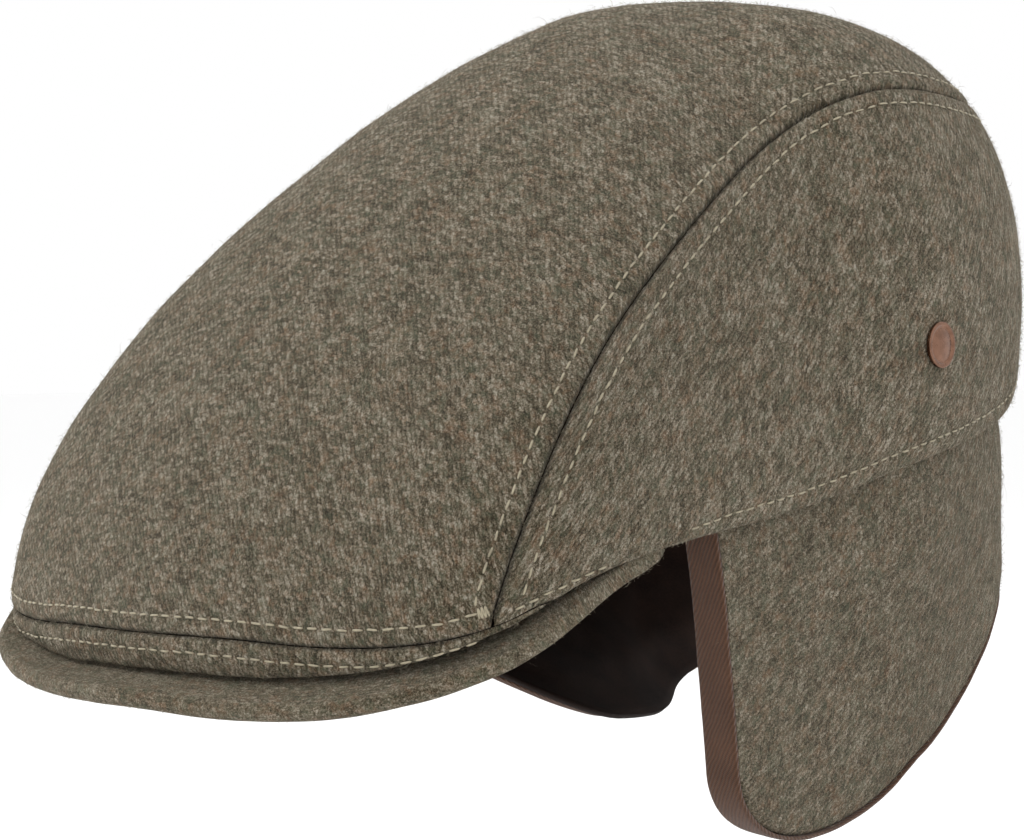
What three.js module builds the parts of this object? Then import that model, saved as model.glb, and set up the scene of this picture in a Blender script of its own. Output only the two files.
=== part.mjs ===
// Winter cap with earflaps, a flat wool cap with one padded flap round the ears and the nape.
// Millimetres, +Z up, the peak towards -Y and the wearer's left towards +X.
// The origin is the centre of the head opening at the rim. The rim is pitched nose down, as it is worn.
import * as THREE from "three";

// Sizes of the whole cap
const crownTop = 114.9; // height of the crown's highest point over the rim's centre
const crownCentreY = 9; // the crown's sections are taken round this axis
const rimPitch = THREE.MathUtils.degToRad(13.8); // the rim's slope, front down
const clothWall = 2.4; // outer wool and its light backing
const gap = 0.3; // room left between two pieces
const halfGap = gap / 2;
const edgeRollRadius = 4; // how quickly the cloth rolls in above the lower edge
const headHalfWidth = 84;
const headHalfLength = 100;

// The crown's sections. angle is in degrees from the front, reach and height place the lower edge,
// topReach shapes the top, sideOut and sideUp the side, middle swells or presses in the slope
// between them, and tuck is how far the cloth rolls in at the edge.
const crownSections = [
  { angle: 0, reach: 160.8, height: -42.4, topReach: 67.4, sideOut: 3.4, sideUp: 39.8, middle: 0.7, tuck: 3 },
  { angle: 18, reach: 159.1, height: -41.6, topReach: 56.6, sideOut: 0.3, sideUp: 61.1, middle: -0.6, tuck: 2.5 },
  { angle: 33, reach: 155.9, height: -31.1, topReach: 43.8, sideOut: 0, sideUp: 76.6, middle: -4.6, tuck: 1.5 },
  { angle: 41, reach: 140.2, height: -19.3, topReach: 42.2, sideOut: 4.1, sideUp: 69.1, middle: -3.7, tuck: 2.3 },
  { angle: 48, reach: 123.4, height: -13.8, topReach: 43.4, sideOut: 7.6, sideUp: 65.1, middle: -2, tuck: 3 },
  { angle: 65, reach: 98.1, height: -7.9, topReach: 49.4, sideOut: 8.1, sideUp: 70.3, middle: -0.1, tuck: 2.4 },
  { angle: 90, reach: 88.1, height: 1.3, topReach: 59, sideOut: 8.9, sideUp: 89.5, middle: -0.2, tuck: 2.1 },
  { angle: 120, reach: 87.3, height: 9.4, topReach: 63.4, sideOut: 9.5, sideUp: 91.5, middle: -0.8, tuck: 1.4 },
  { angle: 150, reach: 95, height: 21, topReach: 59.8, sideOut: 10.4, sideUp: 79.3, middle: 0, tuck: 1.4 },
  { angle: 180, reach: 99, height: 26, topReach: 61.1, sideOut: 10.2, sideUp: 82.2, middle: 0.2, tuck: 2.1 },
];
const crownTilt = 0.06; // slope of the crown's top, front down
const middleScale = 0.0494; // makes a middle of 1 a swelling of 1 mm

// The seam between the top and a side: share is how far down the section it lies, 0 at the top, 1 at the edge.
const cornerAngle = 33;
const cornerMargin = 0.5; // the seams' edges start this far from the corner
const sideSeamRows = [
  { angle: 33, share: 0.985 },
  { angle: 38, share: 0.806 },
  { angle: 45, share: 0.672 },
  { angle: 55, share: 0.579 },
  { angle: 68, share: 0.519 },
  { angle: 85, share: 0.506 },
  { angle: 105, share: 0.533 },
  { angle: 130, share: 0.571 },
  { angle: 155, share: 0.595 },
  { angle: 180, share: 0.61 },
];

// The front strip's height over the lower edge, a crescent that runs out past the corners
const stripRows = [
  { angle: 0, above: 9.4 },
  { angle: 12, above: 9 },
  { angle: 18, above: 7.4 },
  { angle: 25, above: 5.1 },
  { angle: 33, above: 1.9 },
  { angle: 38, above: 0.8 },
];
const stripEndAngle = 37;

// The peak: how far it stands out past the crown's edge, and how far its underside lies below that edge
const peakRows = [
  { angle: 0, out: 10.9, dropLeft: 7.2, dropRight: 7.2 },
  { angle: 18, out: 7.9, dropLeft: 10.3, dropRight: 6 },
  { angle: 33, out: 1.5, dropLeft: 10.2, dropRight: 5.7 },
  { angle: 38, out: 0.5, dropLeft: 9.6, dropRight: 5.6 },
  { angle: 42, out: -0.1, dropLeft: 5.8, dropRight: 4.6 },
  { angle: 47, out: -0.8, dropLeft: 1.5, dropRight: 1.5 },
];
const peakEndAngle = 47;
const peakTaperAngle = 36;
const peakThickness = 4.5; // it thins out at the two ends, under the crown's edge
const peakEndWidth = 6;
const peakUnderEdge = 1.1; // how far the peak's top lies below the crown's edge
const peakUnderEnd = 0.5; // and at its two ends
const peakSideRound = 0.9; // how far in the rounding of the rim starts at the sides
const peakSideAngle = 24; // the rim turns from round to steep between this angle and the taper
const peakTipBend = 10; // power of the bend near the peak's rim, high for a bend close to the rim

// The flap, measured along the rim from its front end
const flapStartAngle = 54.7;
const flapFrontEdge = { left: 58.2, right: 52 };
const flapTipAlong = { left: 44, right: 30 };
// How far the flap hangs below the rim along its edge, longer on the wearer's right
const flapDepthRows = [
  { along: 44, downLeft: 84.6, downRight: 98 },
  { along: 69, downLeft: 80.7, downRight: 94.2 },
  { along: 95, downLeft: 75.3, downRight: 89 },
  { along: 125, downLeft: 65.2, downRight: 72.1 },
  { along: 160, downLeft: 52.5, downRight: 51.9 },
  { along: 213, downLeft: 45.5, downRight: 45.5 },
];
// How the flap hangs, in degrees: lean is towards the neck, swing towards the back
const flapHangRows = [
  { along: 0, leanLeft: 4.2, leanRight: 49.1, swingLeft: -2.9, swingRight: 30 },
  { along: 60, leanLeft: 15.8, leanRight: 28.1, swingLeft: 5.5, swingRight: 26.8 },
  { along: 110, leanLeft: 12.1, leanRight: 14.8, swingLeft: -4.4, swingRight: 27.1 },
  { along: 155, leanLeft: 8.5, leanRight: 7.2, swingLeft: 0, swingRight: 17.3 },
  { along: 213, leanLeft: 8, leanRight: 8, swingLeft: 0, swingRight: 0 },
];
const flapBend = 30; // the flap turns to its lean over this depth
const flapInsideRim = 9; // how far the flap runs up inside the rim
const flapInsetSide = 3.2; // from the rim's outside to the flap's outside, at the ear
const flapInsetBack = 5.5;
const flapWool = 1.8;
const liningPad = 8.8;
const liningTop = 2;
const liningFullDown = 14; // the lining has its full pad below this depth
const liningEdgeStart = 8; // and it rounds off this near its lower edge
const liningEdgeShare = 0.8;
const tapeThickness = 1.2;
const tapeFrontInset = 0.5; // from the wool's outside to the tape

// The pin on the left side
const pinRadius = 5.5;
const pinHeight = 2.2;
const pinAngle = 94;
const pinShare = 0.89;

// A smooth curve through the rows of a table. A slope of null leaves that end free.
function smoothCurve(xs, ys, startSlope, endSlope) {
  const n = xs.length;
  const lower = new Array(n).fill(0);
  const middle = new Array(n).fill(1);
  const upper = new Array(n).fill(0);
  const right = new Array(n).fill(0);
  const rise = (i) => (ys[i + 1] - ys[i]) / (xs[i + 1] - xs[i]);
  for (let i = 1; i < n - 1; i++) {
    const before = xs[i] - xs[i - 1];
    const after = xs[i + 1] - xs[i];
    lower[i] = after;
    middle[i] = 2 * (before + after);
    upper[i] = before;
    right[i] = 3 * (after * rise(i - 1) + before * rise(i));
  }
  if (startSlope === null) {
    middle[0] = 2;
    upper[0] = 1;
    right[0] = 3 * rise(0);
  } else {
    right[0] = startSlope;
  }
  if (endSlope === null) {
    lower[n - 1] = 1;
    middle[n - 1] = 2;
    right[n - 1] = 3 * rise(n - 2);
  } else {
    right[n - 1] = endSlope;
  }
  for (let i = 1; i < n; i++) {
    const factor = lower[i] / middle[i - 1];
    middle[i] -= factor * upper[i - 1];
    right[i] -= factor * right[i - 1];
  }
  const slopes = new Array(n);
  slopes[n - 1] = right[n - 1] / middle[n - 1];
  for (let i = n - 2; i >= 0; i--) slopes[i] = (right[i] - upper[i] * slopes[i + 1]) / middle[i];
  return (x) => {
    const at = Math.min(Math.max(x, xs[0]), xs[n - 1]);
    let i = 0;
    while (i < n - 2 && at > xs[i + 1]) i++;
    const width = xs[i + 1] - xs[i];
    const u = (at - xs[i]) / width;
    const v = 1 - u;
    return (
      ys[i] * (1 + 2 * u) * v * v +
      slopes[i] * width * u * v * v +
      ys[i + 1] * (3 - 2 * u) * u * u -
      slopes[i + 1] * width * v * u * u
    );
  };
}

function tableCurve(rows, across, column, startSlope = null, endSlope = null) {
  return smoothCurve(rows.map((row) => row[across]), rows.map((row) => row[column]), startSlope, endSlope);
}

const crownCurve = {};
for (const column of ["reach", "height", "topReach", "sideOut", "sideUp", "middle", "tuck"]) {
  crownCurve[column] = tableCurve(crownSections, "angle", column, 0, 0);
}
const sideSeamShare = tableCurve(sideSeamRows, "angle", "share", null, 0);
const stripAbove = tableCurve(stripRows, "angle", "above", 0, null);
const peakCurve = {
  out: tableCurve(peakRows, "angle", "out", 0, null),
  dropLeft: tableCurve(peakRows, "angle", "dropLeft", 0, null),
  dropRight: tableCurve(peakRows, "angle", "dropRight", 0, null),
};

// The angle of a section, folded so that it lies between 0 at the front and 180 at the back
function foldedAngle(angle) {
  return Math.abs(((angle + 540) % 360) - 180);
}

function aroundCrown(angle, radius, height) {
  const turn = THREE.MathUtils.degToRad(angle);
  return new THREE.Vector3(radius * Math.sin(turn), crownCentreY - radius * Math.cos(turn), height);
}

// A point on the outside of the crown
function crownPoint(angle, share) {
  const at = foldedAngle(angle);
  const reach = crownCurve.reach(at);
  const height = crownCurve.height(at);
  const shoulder = reach + crownCurve.sideOut(at);
  const sideUp = crownCurve.sideUp(at);
  const left = 1 - share;
  const topWeight = 3 * share * left * left;
  const sideWeight = 3 * share * share * left;
  const edgeWeight = share ** 3;
  const topReach = crownCurve.topReach(at);
  const topFall = topReach * crownTilt * Math.cos(THREE.MathUtils.degToRad(at));
  const swell = (crownCurve.middle(at) * share ** 3 * left ** 2) / middleScale;
  const section = topWeight * topReach + sideWeight * shoulder + edgeWeight * reach + swell;
  const z =
    left ** 3 * crownTop +
    topWeight * (crownTop - topFall) +
    sideWeight * (height + sideUp) +
    edgeWeight * height +
    swell;
  const fromEdge = 3 * Math.hypot(shoulder - reach, sideUp) * left;
  const rollIn = 1 - Math.exp(-fromEdge / edgeRollRadius);
  const fade = Math.min(share / 0.4, 1) ** 2;
  return aroundCrown(angle, section + crownCurve.tuck(at) * rollIn * fade, z);
}

function crownNormal(angle, share) {
  const stepAngle = 0.2;
  const stepShare = 0.002;
  const down = Math.min(share + stepShare, 1);
  const up = Math.max(down - 2 * stepShare, 0.001);
  const along = crownPoint(angle + stepAngle, share).sub(crownPoint(angle - stepAngle, share));
  const across = crownPoint(angle, down).sub(crownPoint(angle, up));
  return along.cross(across).normalize().negate();
}

// The share at which a section is a given length of cloth above the lower edge
function shareAbove(angle, length) {
  const steps = 60;
  const span = 0.3;
  let travelled = 0;
  let last = crownPoint(angle, 1);
  for (let i = 1; i <= steps; i++) {
    const next = crownPoint(angle, 1 - (span * i) / steps);
    const piece = next.distanceTo(last);
    if (travelled + piece >= length) {
      return 1 - (span * (i - 1 + (length - travelled) / piece)) / steps;
    }
    travelled += piece;
    last = next;
  }
  return 1 - span;
}

const stripSeamShare = (angle) => shareAbove(angle, stripAbove(foldedAngle(angle)));

// A place a little to one side of a seam on the crown, positive towards the top
function besideSeam(seam, angle, distance) {
  const step = 0.1;
  const here = crownPoint(angle, seam(angle));
  const along = crownPoint(angle + step, seam(angle + step)).sub(crownPoint(angle - step, seam(angle - step)));
  const normal = crownNormal(angle, seam(angle));
  const side = normal.clone().cross(along).normalize();
  const byAngle = crownPoint(angle + step, seam(angle)).sub(here).divideScalar(step);
  const byShare = crownPoint(angle, seam(angle) - 0.001).sub(here).divideScalar(-0.001);
  const aa = byAngle.dot(byAngle);
  const ab = byAngle.dot(byShare);
  const bb = byShare.dot(byShare);
  const pa = side.dot(byAngle);
  const pb = side.dot(byShare);
  const determinant = aa * bb - ab * ab;
  return {
    angle: angle + (distance * (pa * bb - pb * ab)) / determinant,
    share: seam(angle) + (distance * (pb * aa - pa * ab)) / determinant,
  };
}

// A wall of cloth at a place on the crown: its outer and inner points
function crownWall(angle, share) {
  const outer = crownPoint(angle, share);
  const inner = outer.clone().addScaledVector(crownNormal(angle, share), -clothWall);
  return { outer, inner };
}

// Angles from one value to another in equal steps of about the given size
function steps(from, to, size) {
  const count = Math.max(1, Math.round(Math.abs(to - from) / size));
  return Array.from({ length: count + 1 }, (_, i) => from + ((to - from) * i) / count);
}

// A closed mesh from its points and faces, turned so that its faces point out
function closedGeometry(points, faces) {
  let volume = 0;
  for (const [a, b, c] of faces) volume += points[a].dot(points[b].clone().cross(points[c]));
  const index = volume > 0 ? faces.flat() : faces.map(([a, b, c]) => [a, c, b]).flat();
  const geometry = new THREE.BufferGeometry();
  geometry.setAttribute("position", new THREE.Float32BufferAttribute(points.flatMap((p) => p.toArray()), 3));
  geometry.setIndex(index);
  geometry.computeVertexNormals();
  return geometry;
}

// A wall between two faces, given as columns of places from one edge to the other.
// looped joins the last column to the first, and poled gathers the first place of all columns in one.
function wallGeometry(columns, { looped = false, poled = false } = {}) {
  const points = [];
  const faces = [];
  const rows = columns[0].length;
  const firstRow = poled ? 1 : 0;
  const pole = {};
  if (poled) {
    for (const face of ["outer", "inner"]) {
      pole[face] = points.length;
      points.push(columns[0][0][face]);
    }
  }
  const start = points.length;
  const perColumn = 2 * (rows - firstRow);
  for (const column of columns) {
    for (const place of column.slice(firstRow)) points.push(place.outer, place.inner);
  }
  const at = (column, row, face) => {
    if (row < firstRow) return pole[face];
    return start + (column % columns.length) * perColumn + 2 * (row - firstRow) + (face === "inner" ? 1 : 0);
  };
  const quad = (a, b, c, d) => {
    if (a !== b) faces.push([a, b, c]);
    if (a !== d) faces.push([a, c, d]);
  };
  const spans = looped ? columns.length : columns.length - 1;
  for (let i = 0; i < spans; i++) {
    for (let j = 0; j < rows - 1; j++) {
      quad(at(i, j, "outer"), at(i + 1, j, "outer"), at(i + 1, j + 1, "outer"), at(i, j + 1, "outer"));
      quad(at(i, j, "inner"), at(i, j + 1, "inner"), at(i + 1, j + 1, "inner"), at(i + 1, j, "inner"));
    }
    const last = rows - 1;
    quad(at(i, last, "outer"), at(i + 1, last, "outer"), at(i + 1, last, "inner"), at(i, last, "inner"));
    if (!poled) quad(at(i, 0, "inner"), at(i + 1, 0, "inner"), at(i + 1, 0, "outer"), at(i, 0, "outer"));
  }
  if (!looped) {
    const end = columns.length - 1;
    for (let j = 0; j < rows - 1; j++) {
      quad(at(0, j, "inner"), at(0, j, "outer"), at(0, j + 1, "outer"), at(0, j + 1, "inner"));
      quad(at(end, j, "outer"), at(end, j, "inner"), at(end, j + 1, "inner"), at(end, j + 1, "outer"));
    }
  }
  return closedGeometry(points, faces);
}

// The top panel's outline, a little inside the seams all round
function topEdgePlaces() {
  const front = steps(-cornerAngle + cornerMargin, cornerAngle - cornerMargin, 6.5);
  const leftSide = [...steps(cornerAngle + cornerMargin, 48, 2.4), ...steps(48, 180, 9).slice(1)];
  const places = front.map((angle) => besideSeam(stripSeamShare, angle, halfGap));
  for (const angle of leftSide) places.push(besideSeam(sideSeamShare, angle, halfGap));
  for (const angle of leftSide.slice(0, -1).reverse()) {
    const mirrored = besideSeam(sideSeamShare, angle, halfGap);
    places.push({ angle: -mirrored.angle, share: mirrored.share });
  }
  return places;
}

// The top panel: one piece from the front strip over the crown to the back
function topPanelGeometry() {
  const rows = steps(0, 1, 1 / 11);
  const columns = topEdgePlaces().map((place) =>
    rows.map((row) => crownWall(place.angle, Math.max(row * place.share, 1e-4))),
  );
  const apexOuter = new THREE.Vector3(0, crownCentreY, crownTop);
  const apex = { outer: apexOuter, inner: apexOuter.clone().setZ(crownTop - clothWall) };
  for (const column of columns) column[0] = apex;
  return wallGeometry(columns, { looped: true, poled: true });
}

// A side panel, from the corner of the top panel to the seam at the middle of the back
function sidePanelGeometry(side) {
  const backMargin = (halfGap / crownPoint(180, 1).y) * THREE.MathUtils.RAD2DEG;
  const angles = [
    ...steps(cornerAngle + cornerMargin, stripEndAngle, 1.8),
    ...steps(stripEndAngle + 1, 48, 2.5),
    ...steps(48, 180 - backMargin, 8).slice(1),
  ];
  const rows = steps(0, 1, 1 / 9);
  const columns = angles.map((angle) => {
    const top = besideSeam(sideSeamShare, angle, -halfGap);
    const bottom =
      angle <= stripEndAngle ? besideSeam(stripSeamShare, angle, halfGap) : { angle, share: 1 };
    if (angle > 150) top.angle = angle;
    return rows.map((row) => {
      const eased = row + 0.25 * row * (1 - row);
      const at = THREE.MathUtils.lerp(top.angle, bottom.angle, eased);
      return crownWall(side * at, THREE.MathUtils.lerp(top.share, bottom.share, eased));
    });
  });
  return wallGeometry(columns);
}

// The front strip, the low crescent that closes the crown over the peak
function frontStripGeometry() {
  const angles = steps(-stripEndAngle, stripEndAngle, 3.1);
  const rows = steps(0, 1, 1 / 4);
  const columns = angles.map((angle) => {
    const top = besideSeam(stripSeamShare, angle, -halfGap);
    return rows.map((row) =>
      crownWall(THREE.MathUtils.lerp(top.angle, angle, row), THREE.MathUtils.lerp(top.share, 1, row)),
    );
  });
  return wallGeometry(columns);
}

// How far the head's oval lies from the crown's axis in a given direction
function headReach(angle) {
  const turn = THREE.MathUtils.degToRad(angle);
  const across = Math.sin(turn) / headHalfWidth;
  const along = Math.cos(turn) / headHalfLength;
  const offset = crownCentreY / headHalfLength;
  const a = across * across + along * along;
  const b = -2 * along * offset;
  const c = offset * offset - 1;
  return (-b + Math.sqrt(b * b - 4 * a * c)) / (2 * a);
}

// The peak: a stiff plate from the head opening out past the crown, with a rounded rim
function peakGeometry() {
  const angles = steps(-peakEndAngle, peakEndAngle, 4.25);
  const across = [0, 0.35, 0.7, 0.85, 1];
  const columns = angles.map((angle) => {
    const at = Math.abs(angle);
    const edge = crownCurve.reach(at);
    const edgeHeight = crownCurve.height(at);
    const outer = edge + peakCurve.out(at);
    const drop = angle > 0 ? peakCurve.dropLeft(at) : peakCurve.dropRight(at);
    const taper = THREE.MathUtils.smoothstep(at, peakTaperAngle, peakEndAngle);
    const inner = THREE.MathUtils.lerp(headReach(angle), outer - peakEndWidth, taper);
    const underEdge = THREE.MathUtils.lerp(peakUnderEdge, peakUnderEnd, taper);
    const rimPlane = aroundCrown(angle, inner, 0).y * Math.tan(rimPitch);
    const innerHeight = THREE.MathUtils.lerp(rimPlane, edgeHeight - underEdge, taper);
    const slope = (edgeHeight - underEdge - innerHeight) / (edge - inner);
    const thickness = Math.min(peakThickness, drop - underEdge);
    const rimRound = thickness / 2;
    const sideways = THREE.MathUtils.smoothstep(at, peakSideAngle, peakTaperAngle);
    const rimDepth = THREE.MathUtils.lerp(rimRound, Math.min(rimRound, peakSideRound), sideways);
    const rimTop = edgeHeight - drop + thickness;
    const bend = rimTop - (innerHeight + slope * (outer - inner));
    const top = (radius) => {
      const share = (radius - inner) / (outer - inner);
      return innerHeight + slope * (radius - inner) + bend * share ** peakTipBend;
    };
    const radii = across.map((share) => THREE.MathUtils.lerp(inner, outer - rimDepth, share));
    const upper = radii.map((radius) => aroundCrown(angle, radius, top(radius)));
    const lower = radii.map((radius) => aroundCrown(angle, radius, top(radius) - thickness));
    const rimHeight = top(outer - rimDepth) - rimRound;
    const round = [50, 0, -50].map((degrees) => {
      const turn = THREE.MathUtils.degToRad(degrees);
      const radius = outer - rimDepth + rimDepth * Math.cos(turn);
      return aroundCrown(angle, radius, rimHeight + rimRound * Math.sin(turn));
    });
    return [...upper, ...round, ...lower.reverse()];
  });
  return loftGeometry(columns);
}

// A solid through closed sections, with flat ends
function loftGeometry(sections) {
  const count = sections[0].length;
  const points = sections.flat();
  const faces = [];
  for (let i = 0; i < sections.length - 1; i++) {
    for (let j = 0; j < count; j++) {
      const a = i * count + j;
      const b = i * count + ((j + 1) % count);
      faces.push([a, b, b + count], [a, b + count, a + count]);
    }
  }
  const last = (sections.length - 1) * count;
  const ends = THREE.ShapeUtils.triangulateShape(flatOutline(sections[0]), []);
  const farEnds = THREE.ShapeUtils.triangulateShape(flatOutline(sections[sections.length - 1]), []);
  for (const [a, b, c] of ends) faces.push(orderedEnd(sections[0], [a, b, c], true));
  for (const [a, b, c] of farEnds) {
    faces.push(orderedEnd(sections[sections.length - 1], [a, b, c], false).map((i) => i + last));
  }
  return closedGeometry(points, faces);
}

// A section laid flat, by its own plane
function sectionPlane(section) {
  const centre = new THREE.Vector3();
  for (const point of section) centre.add(point);
  centre.divideScalar(section.length);
  const normal = new THREE.Vector3();
  section.forEach((point, i) => {
    const next = section[(i + 1) % section.length];
    normal.add(point.clone().sub(centre).cross(next.clone().sub(centre)));
  });
  normal.normalize();
  const right = section[1].clone().sub(section[0]).normalize();
  const up = normal.clone().cross(right);
  return { centre, right, up };
}

function flatOutline(section) {
  const { centre, right, up } = sectionPlane(section);
  return section.map((point) => {
    const offset = point.clone().sub(centre);
    return new THREE.Vector2(offset.dot(right), offset.dot(up));
  });
}

// An end triangle wound against the walls that it closes
function orderedEnd(section, triangle, near) {
  const outline = flatOutline(section);
  const [p, q, r] = triangle.map((i) => outline[i]);
  const turn = (q.x - p.x) * (r.y - p.y) - (q.y - p.y) * (r.x - p.x);
  const [a, b, c] = triangle;
  const forward = turn > 0 ? [a, b, c] : [a, c, b];
  return near ? [forward[0], forward[2], forward[1]] : forward;
}

// The rim where the flap hangs, as a table of its own length from the flap's front end
const rimSteps = steps(flapStartAngle, 180, 0.5);
const rimLengths = [0];
for (let i = 1; i < rimSteps.length; i++) {
  const piece = crownPoint(rimSteps[i], 1).distanceTo(crownPoint(rimSteps[i - 1], 1));
  rimLengths.push(rimLengths[i - 1] + piece);
}
const flapHalfLength = rimLengths[rimLengths.length - 1];

function rimAngle(along) {
  let i = 0;
  while (i < rimLengths.length - 2 && along > rimLengths[i + 1]) i++;
  const share = (along - rimLengths[i]) / (rimLengths[i + 1] - rimLengths[i]);
  return THREE.MathUtils.lerp(rimSteps[i], rimSteps[i + 1], share);
}

const flapDownLeft = tableCurve(flapDepthRows, "along", "downLeft", 0, 0);
const flapDownRight = tableCurve(flapDepthRows, "along", "downRight", 0, 0);
function flapDown(side, along) {
  const backDown = side > 0 ? flapDownLeft : flapDownRight;
  const hand = side > 0 ? "left" : "right";
  const tipAlong = flapTipAlong[hand];
  if (along >= tipAlong) return backDown(along);
  const frontDown = flapFrontEdge[hand];
  const left = 1 - along / tipAlong;
  return frontDown + (backDown(tipAlong) - frontDown) * Math.sqrt(1 - left * left);
}

const flapHang = {};
for (const column of ["leanLeft", "leanRight", "swingLeft", "swingRight"]) {
  flapHang[column] = tableCurve(flapHangRows, "along", column, null, 0);
}

// A point on the flap's outside: along the rim from the front end, down from the rim, inwards by depth
function flapPoint(side, along, down, depth) {
  const angle = rimAngle(along);
  const rim = crownPoint(angle, 1);
  const tangent = crownPoint(Math.min(angle + 0.3, 180), 1).sub(crownPoint(angle - 0.3, 1)).setZ(0).normalize();
  const inwards = new THREE.Vector3(-tangent.y, tangent.x, 0);
  const inset = THREE.MathUtils.lerp(flapInsetSide, flapInsetBack, along / flapHalfLength);
  const lean = THREE.MathUtils.degToRad(side > 0 ? flapHang.leanLeft(along) : flapHang.leanRight(along));
  const swing = side > 0 ? flapHang.swingLeft(along) : flapHang.swingRight(along);
  const pitch = rimPitch + (down > 0 ? THREE.MathUtils.degToRad(swing) : 0);
  const downwards = new THREE.Vector3(0, Math.sin(pitch), -Math.cos(pitch));
  let fallen = down;
  let leaned = 0;
  let turn = 0;
  if (down > 0) {
    const pieces = 16;
    fallen = 0;
    for (let i = 0; i < pieces; i++) {
      turn = lean * THREE.MathUtils.smoothstep((down * (i + 0.5)) / pieces, 0, flapBend);
      fallen += (Math.cos(turn) * down) / pieces;
      leaned += (Math.sin(turn) * down) / pieces;
    }
    turn = lean * THREE.MathUtils.smoothstep(down, 0, flapBend);
  }
  const point = rim
    .addScaledVector(inwards, inset + leaned + depth * Math.cos(turn))
    .addScaledVector(downwards, fallen - depth * Math.sin(turn));
  point.x *= side;
  return point;
}

// Where the flap's columns stand, close together at its rounded front corner
const flapColumns = [0, 1, 3, 6.5, 11, 17, 25, 34, 44, ...steps(53, flapHalfLength, 9.2)];

// Columns of the flap from one front end round the back to the other
function flapWallColumns(place) {
  const left = flapColumns.map((along) => place(1, along));
  const right = flapColumns.slice(0, -1).reverse().map((along) => place(-1, along));
  return [...left, ...right];
}

const flapRows = steps(0, 1, 1 / 7);

function neckFlapGeometry() {
  return wallGeometry(
    flapWallColumns((side, along) =>
      flapRows.map((row) => {
        const down = THREE.MathUtils.lerp(-flapInsideRim, flapDown(side, along), row);
        return { outer: flapPoint(side, along, down, 0), inner: flapPoint(side, along, down, flapWool) };
      }),
    ),
  );
}

// The lining is thin where it is sewn in at the rim, and padded below it
function liningThickness(down) {
  const full = THREE.MathUtils.smoothstep(down, -2, liningFullDown);
  return THREE.MathUtils.lerp(liningTop, liningPad, full);
}

function flapLiningGeometry() {
  const front = flapWool + gap;
  return wallGeometry(
    flapWallColumns((side, along) =>
      flapRows.map((row) => {
        const end = flapDown(side, along);
        const down = THREE.MathUtils.lerp(-flapInsideRim, end, row);
        const nearEdge = THREE.MathUtils.smoothstep(end - down, 0, liningEdgeStart);
        const pad = liningThickness(down) * THREE.MathUtils.lerp(liningEdgeShare, 1, nearEdge);
        return { outer: flapPoint(side, along, down, front), inner: flapPoint(side, along, down, front + pad) };
      }),
    ),
  );
}

// The tape that binds the flap's edge: down the front edge, along the bottom and up the other front edge
function flapEdgePlaces() {
  const halfEdge = (side) => [
    ...steps(2, flapDown(side, 0), 11).slice(0, -1).map((down) => ({ side, along: 0, down })),
    ...flapColumns.map((along) => ({ side, along, down: flapDown(side, along) })),
  ];
  return [...halfEdge(1), ...halfEdge(-1).slice(0, -1).reverse()];
}

function flapTapeGeometry() {
  const places = flapEdgePlaces();
  const inner = flapWool + gap + liningPad * liningEdgeShare;
  const sections = places.map((place, i) => {
    const before = places[Math.max(i - 1, 0)];
    const after = places[Math.min(i + 1, places.length - 1)];
    const at = (p, depth) => flapPoint(p.side, p.along, p.down, depth);
    const tangent = at(after, 0).sub(at(before, 0)).normalize();
    const through = at(place, inner).sub(at(place, 0)).normalize();
    const out = through.clone().cross(tangent).normalize();
    const near = at(place, tapeFrontInset);
    const far = at(place, inner);
    return [
      near.clone().addScaledVector(out, gap),
      near.clone().addScaledVector(out, gap + tapeThickness),
      far.clone().addScaledVector(out, gap + tapeThickness),
      far.clone().addScaledVector(out, gap),
    ];
  });
  return loftGeometry(sections);
}

// The pin, a small domed button that stands on the cloth
function pinMesh(material) {
  const profile = [
    [0, 0],
    [pinRadius, 0],
    [pinRadius, pinHeight * 0.45],
    [pinRadius * 0.86, pinHeight * 0.75],
    [pinRadius * 0.5, pinHeight * 0.95],
    [0, pinHeight],
  ].map(([radius, height]) => new THREE.Vector2(radius, height));
  const mesh = new THREE.Mesh(new THREE.LatheGeometry(profile, 20), material);
  const normal = crownNormal(pinAngle, pinShare);
  mesh.quaternion.setFromUnitVectors(new THREE.Vector3(0, 1, 0), normal);
  mesh.position.copy(crownPoint(pinAngle, pinShare)).addScaledVector(normal, gap);
  return mesh;
}

const wool = () => new THREE.MeshStandardMaterial({ color: 0x665d50, roughness: 0.95, metalness: 0 });
const darkLining = () => new THREE.MeshStandardMaterial({ color: 0x1e1613, roughness: 0.8, metalness: 0 });
const brownTape = () => new THREE.MeshStandardMaterial({ color: 0x503b2f, roughness: 0.85, metalness: 0 });
const copper = () => new THREE.MeshStandardMaterial({ color: 0xbe8c73, roughness: 0.3, metalness: 1 });

const group = new THREE.Group();
function addPiece(name, mesh) {
  mesh.name = name;
  group.add(mesh);
}
addPiece("top_panel", new THREE.Mesh(topPanelGeometry(), wool()));
addPiece("side_panel_left", new THREE.Mesh(sidePanelGeometry(1), wool()));
addPiece("side_panel_right", new THREE.Mesh(sidePanelGeometry(-1), wool()));
addPiece("front_strip", new THREE.Mesh(frontStripGeometry(), wool()));
addPiece("peak", new THREE.Mesh(peakGeometry(), wool()));
addPiece("neck_flap", new THREE.Mesh(neckFlapGeometry(), wool()));
addPiece("flap_lining", new THREE.Mesh(flapLiningGeometry(), darkLining()));
addPiece("flap_tape", new THREE.Mesh(flapTapeGeometry(), brownTape()));
addPiece("pin", pinMesh(copper()));

export default group;
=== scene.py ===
import math
import bpy
import numpy as np
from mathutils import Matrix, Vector, noise


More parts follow.
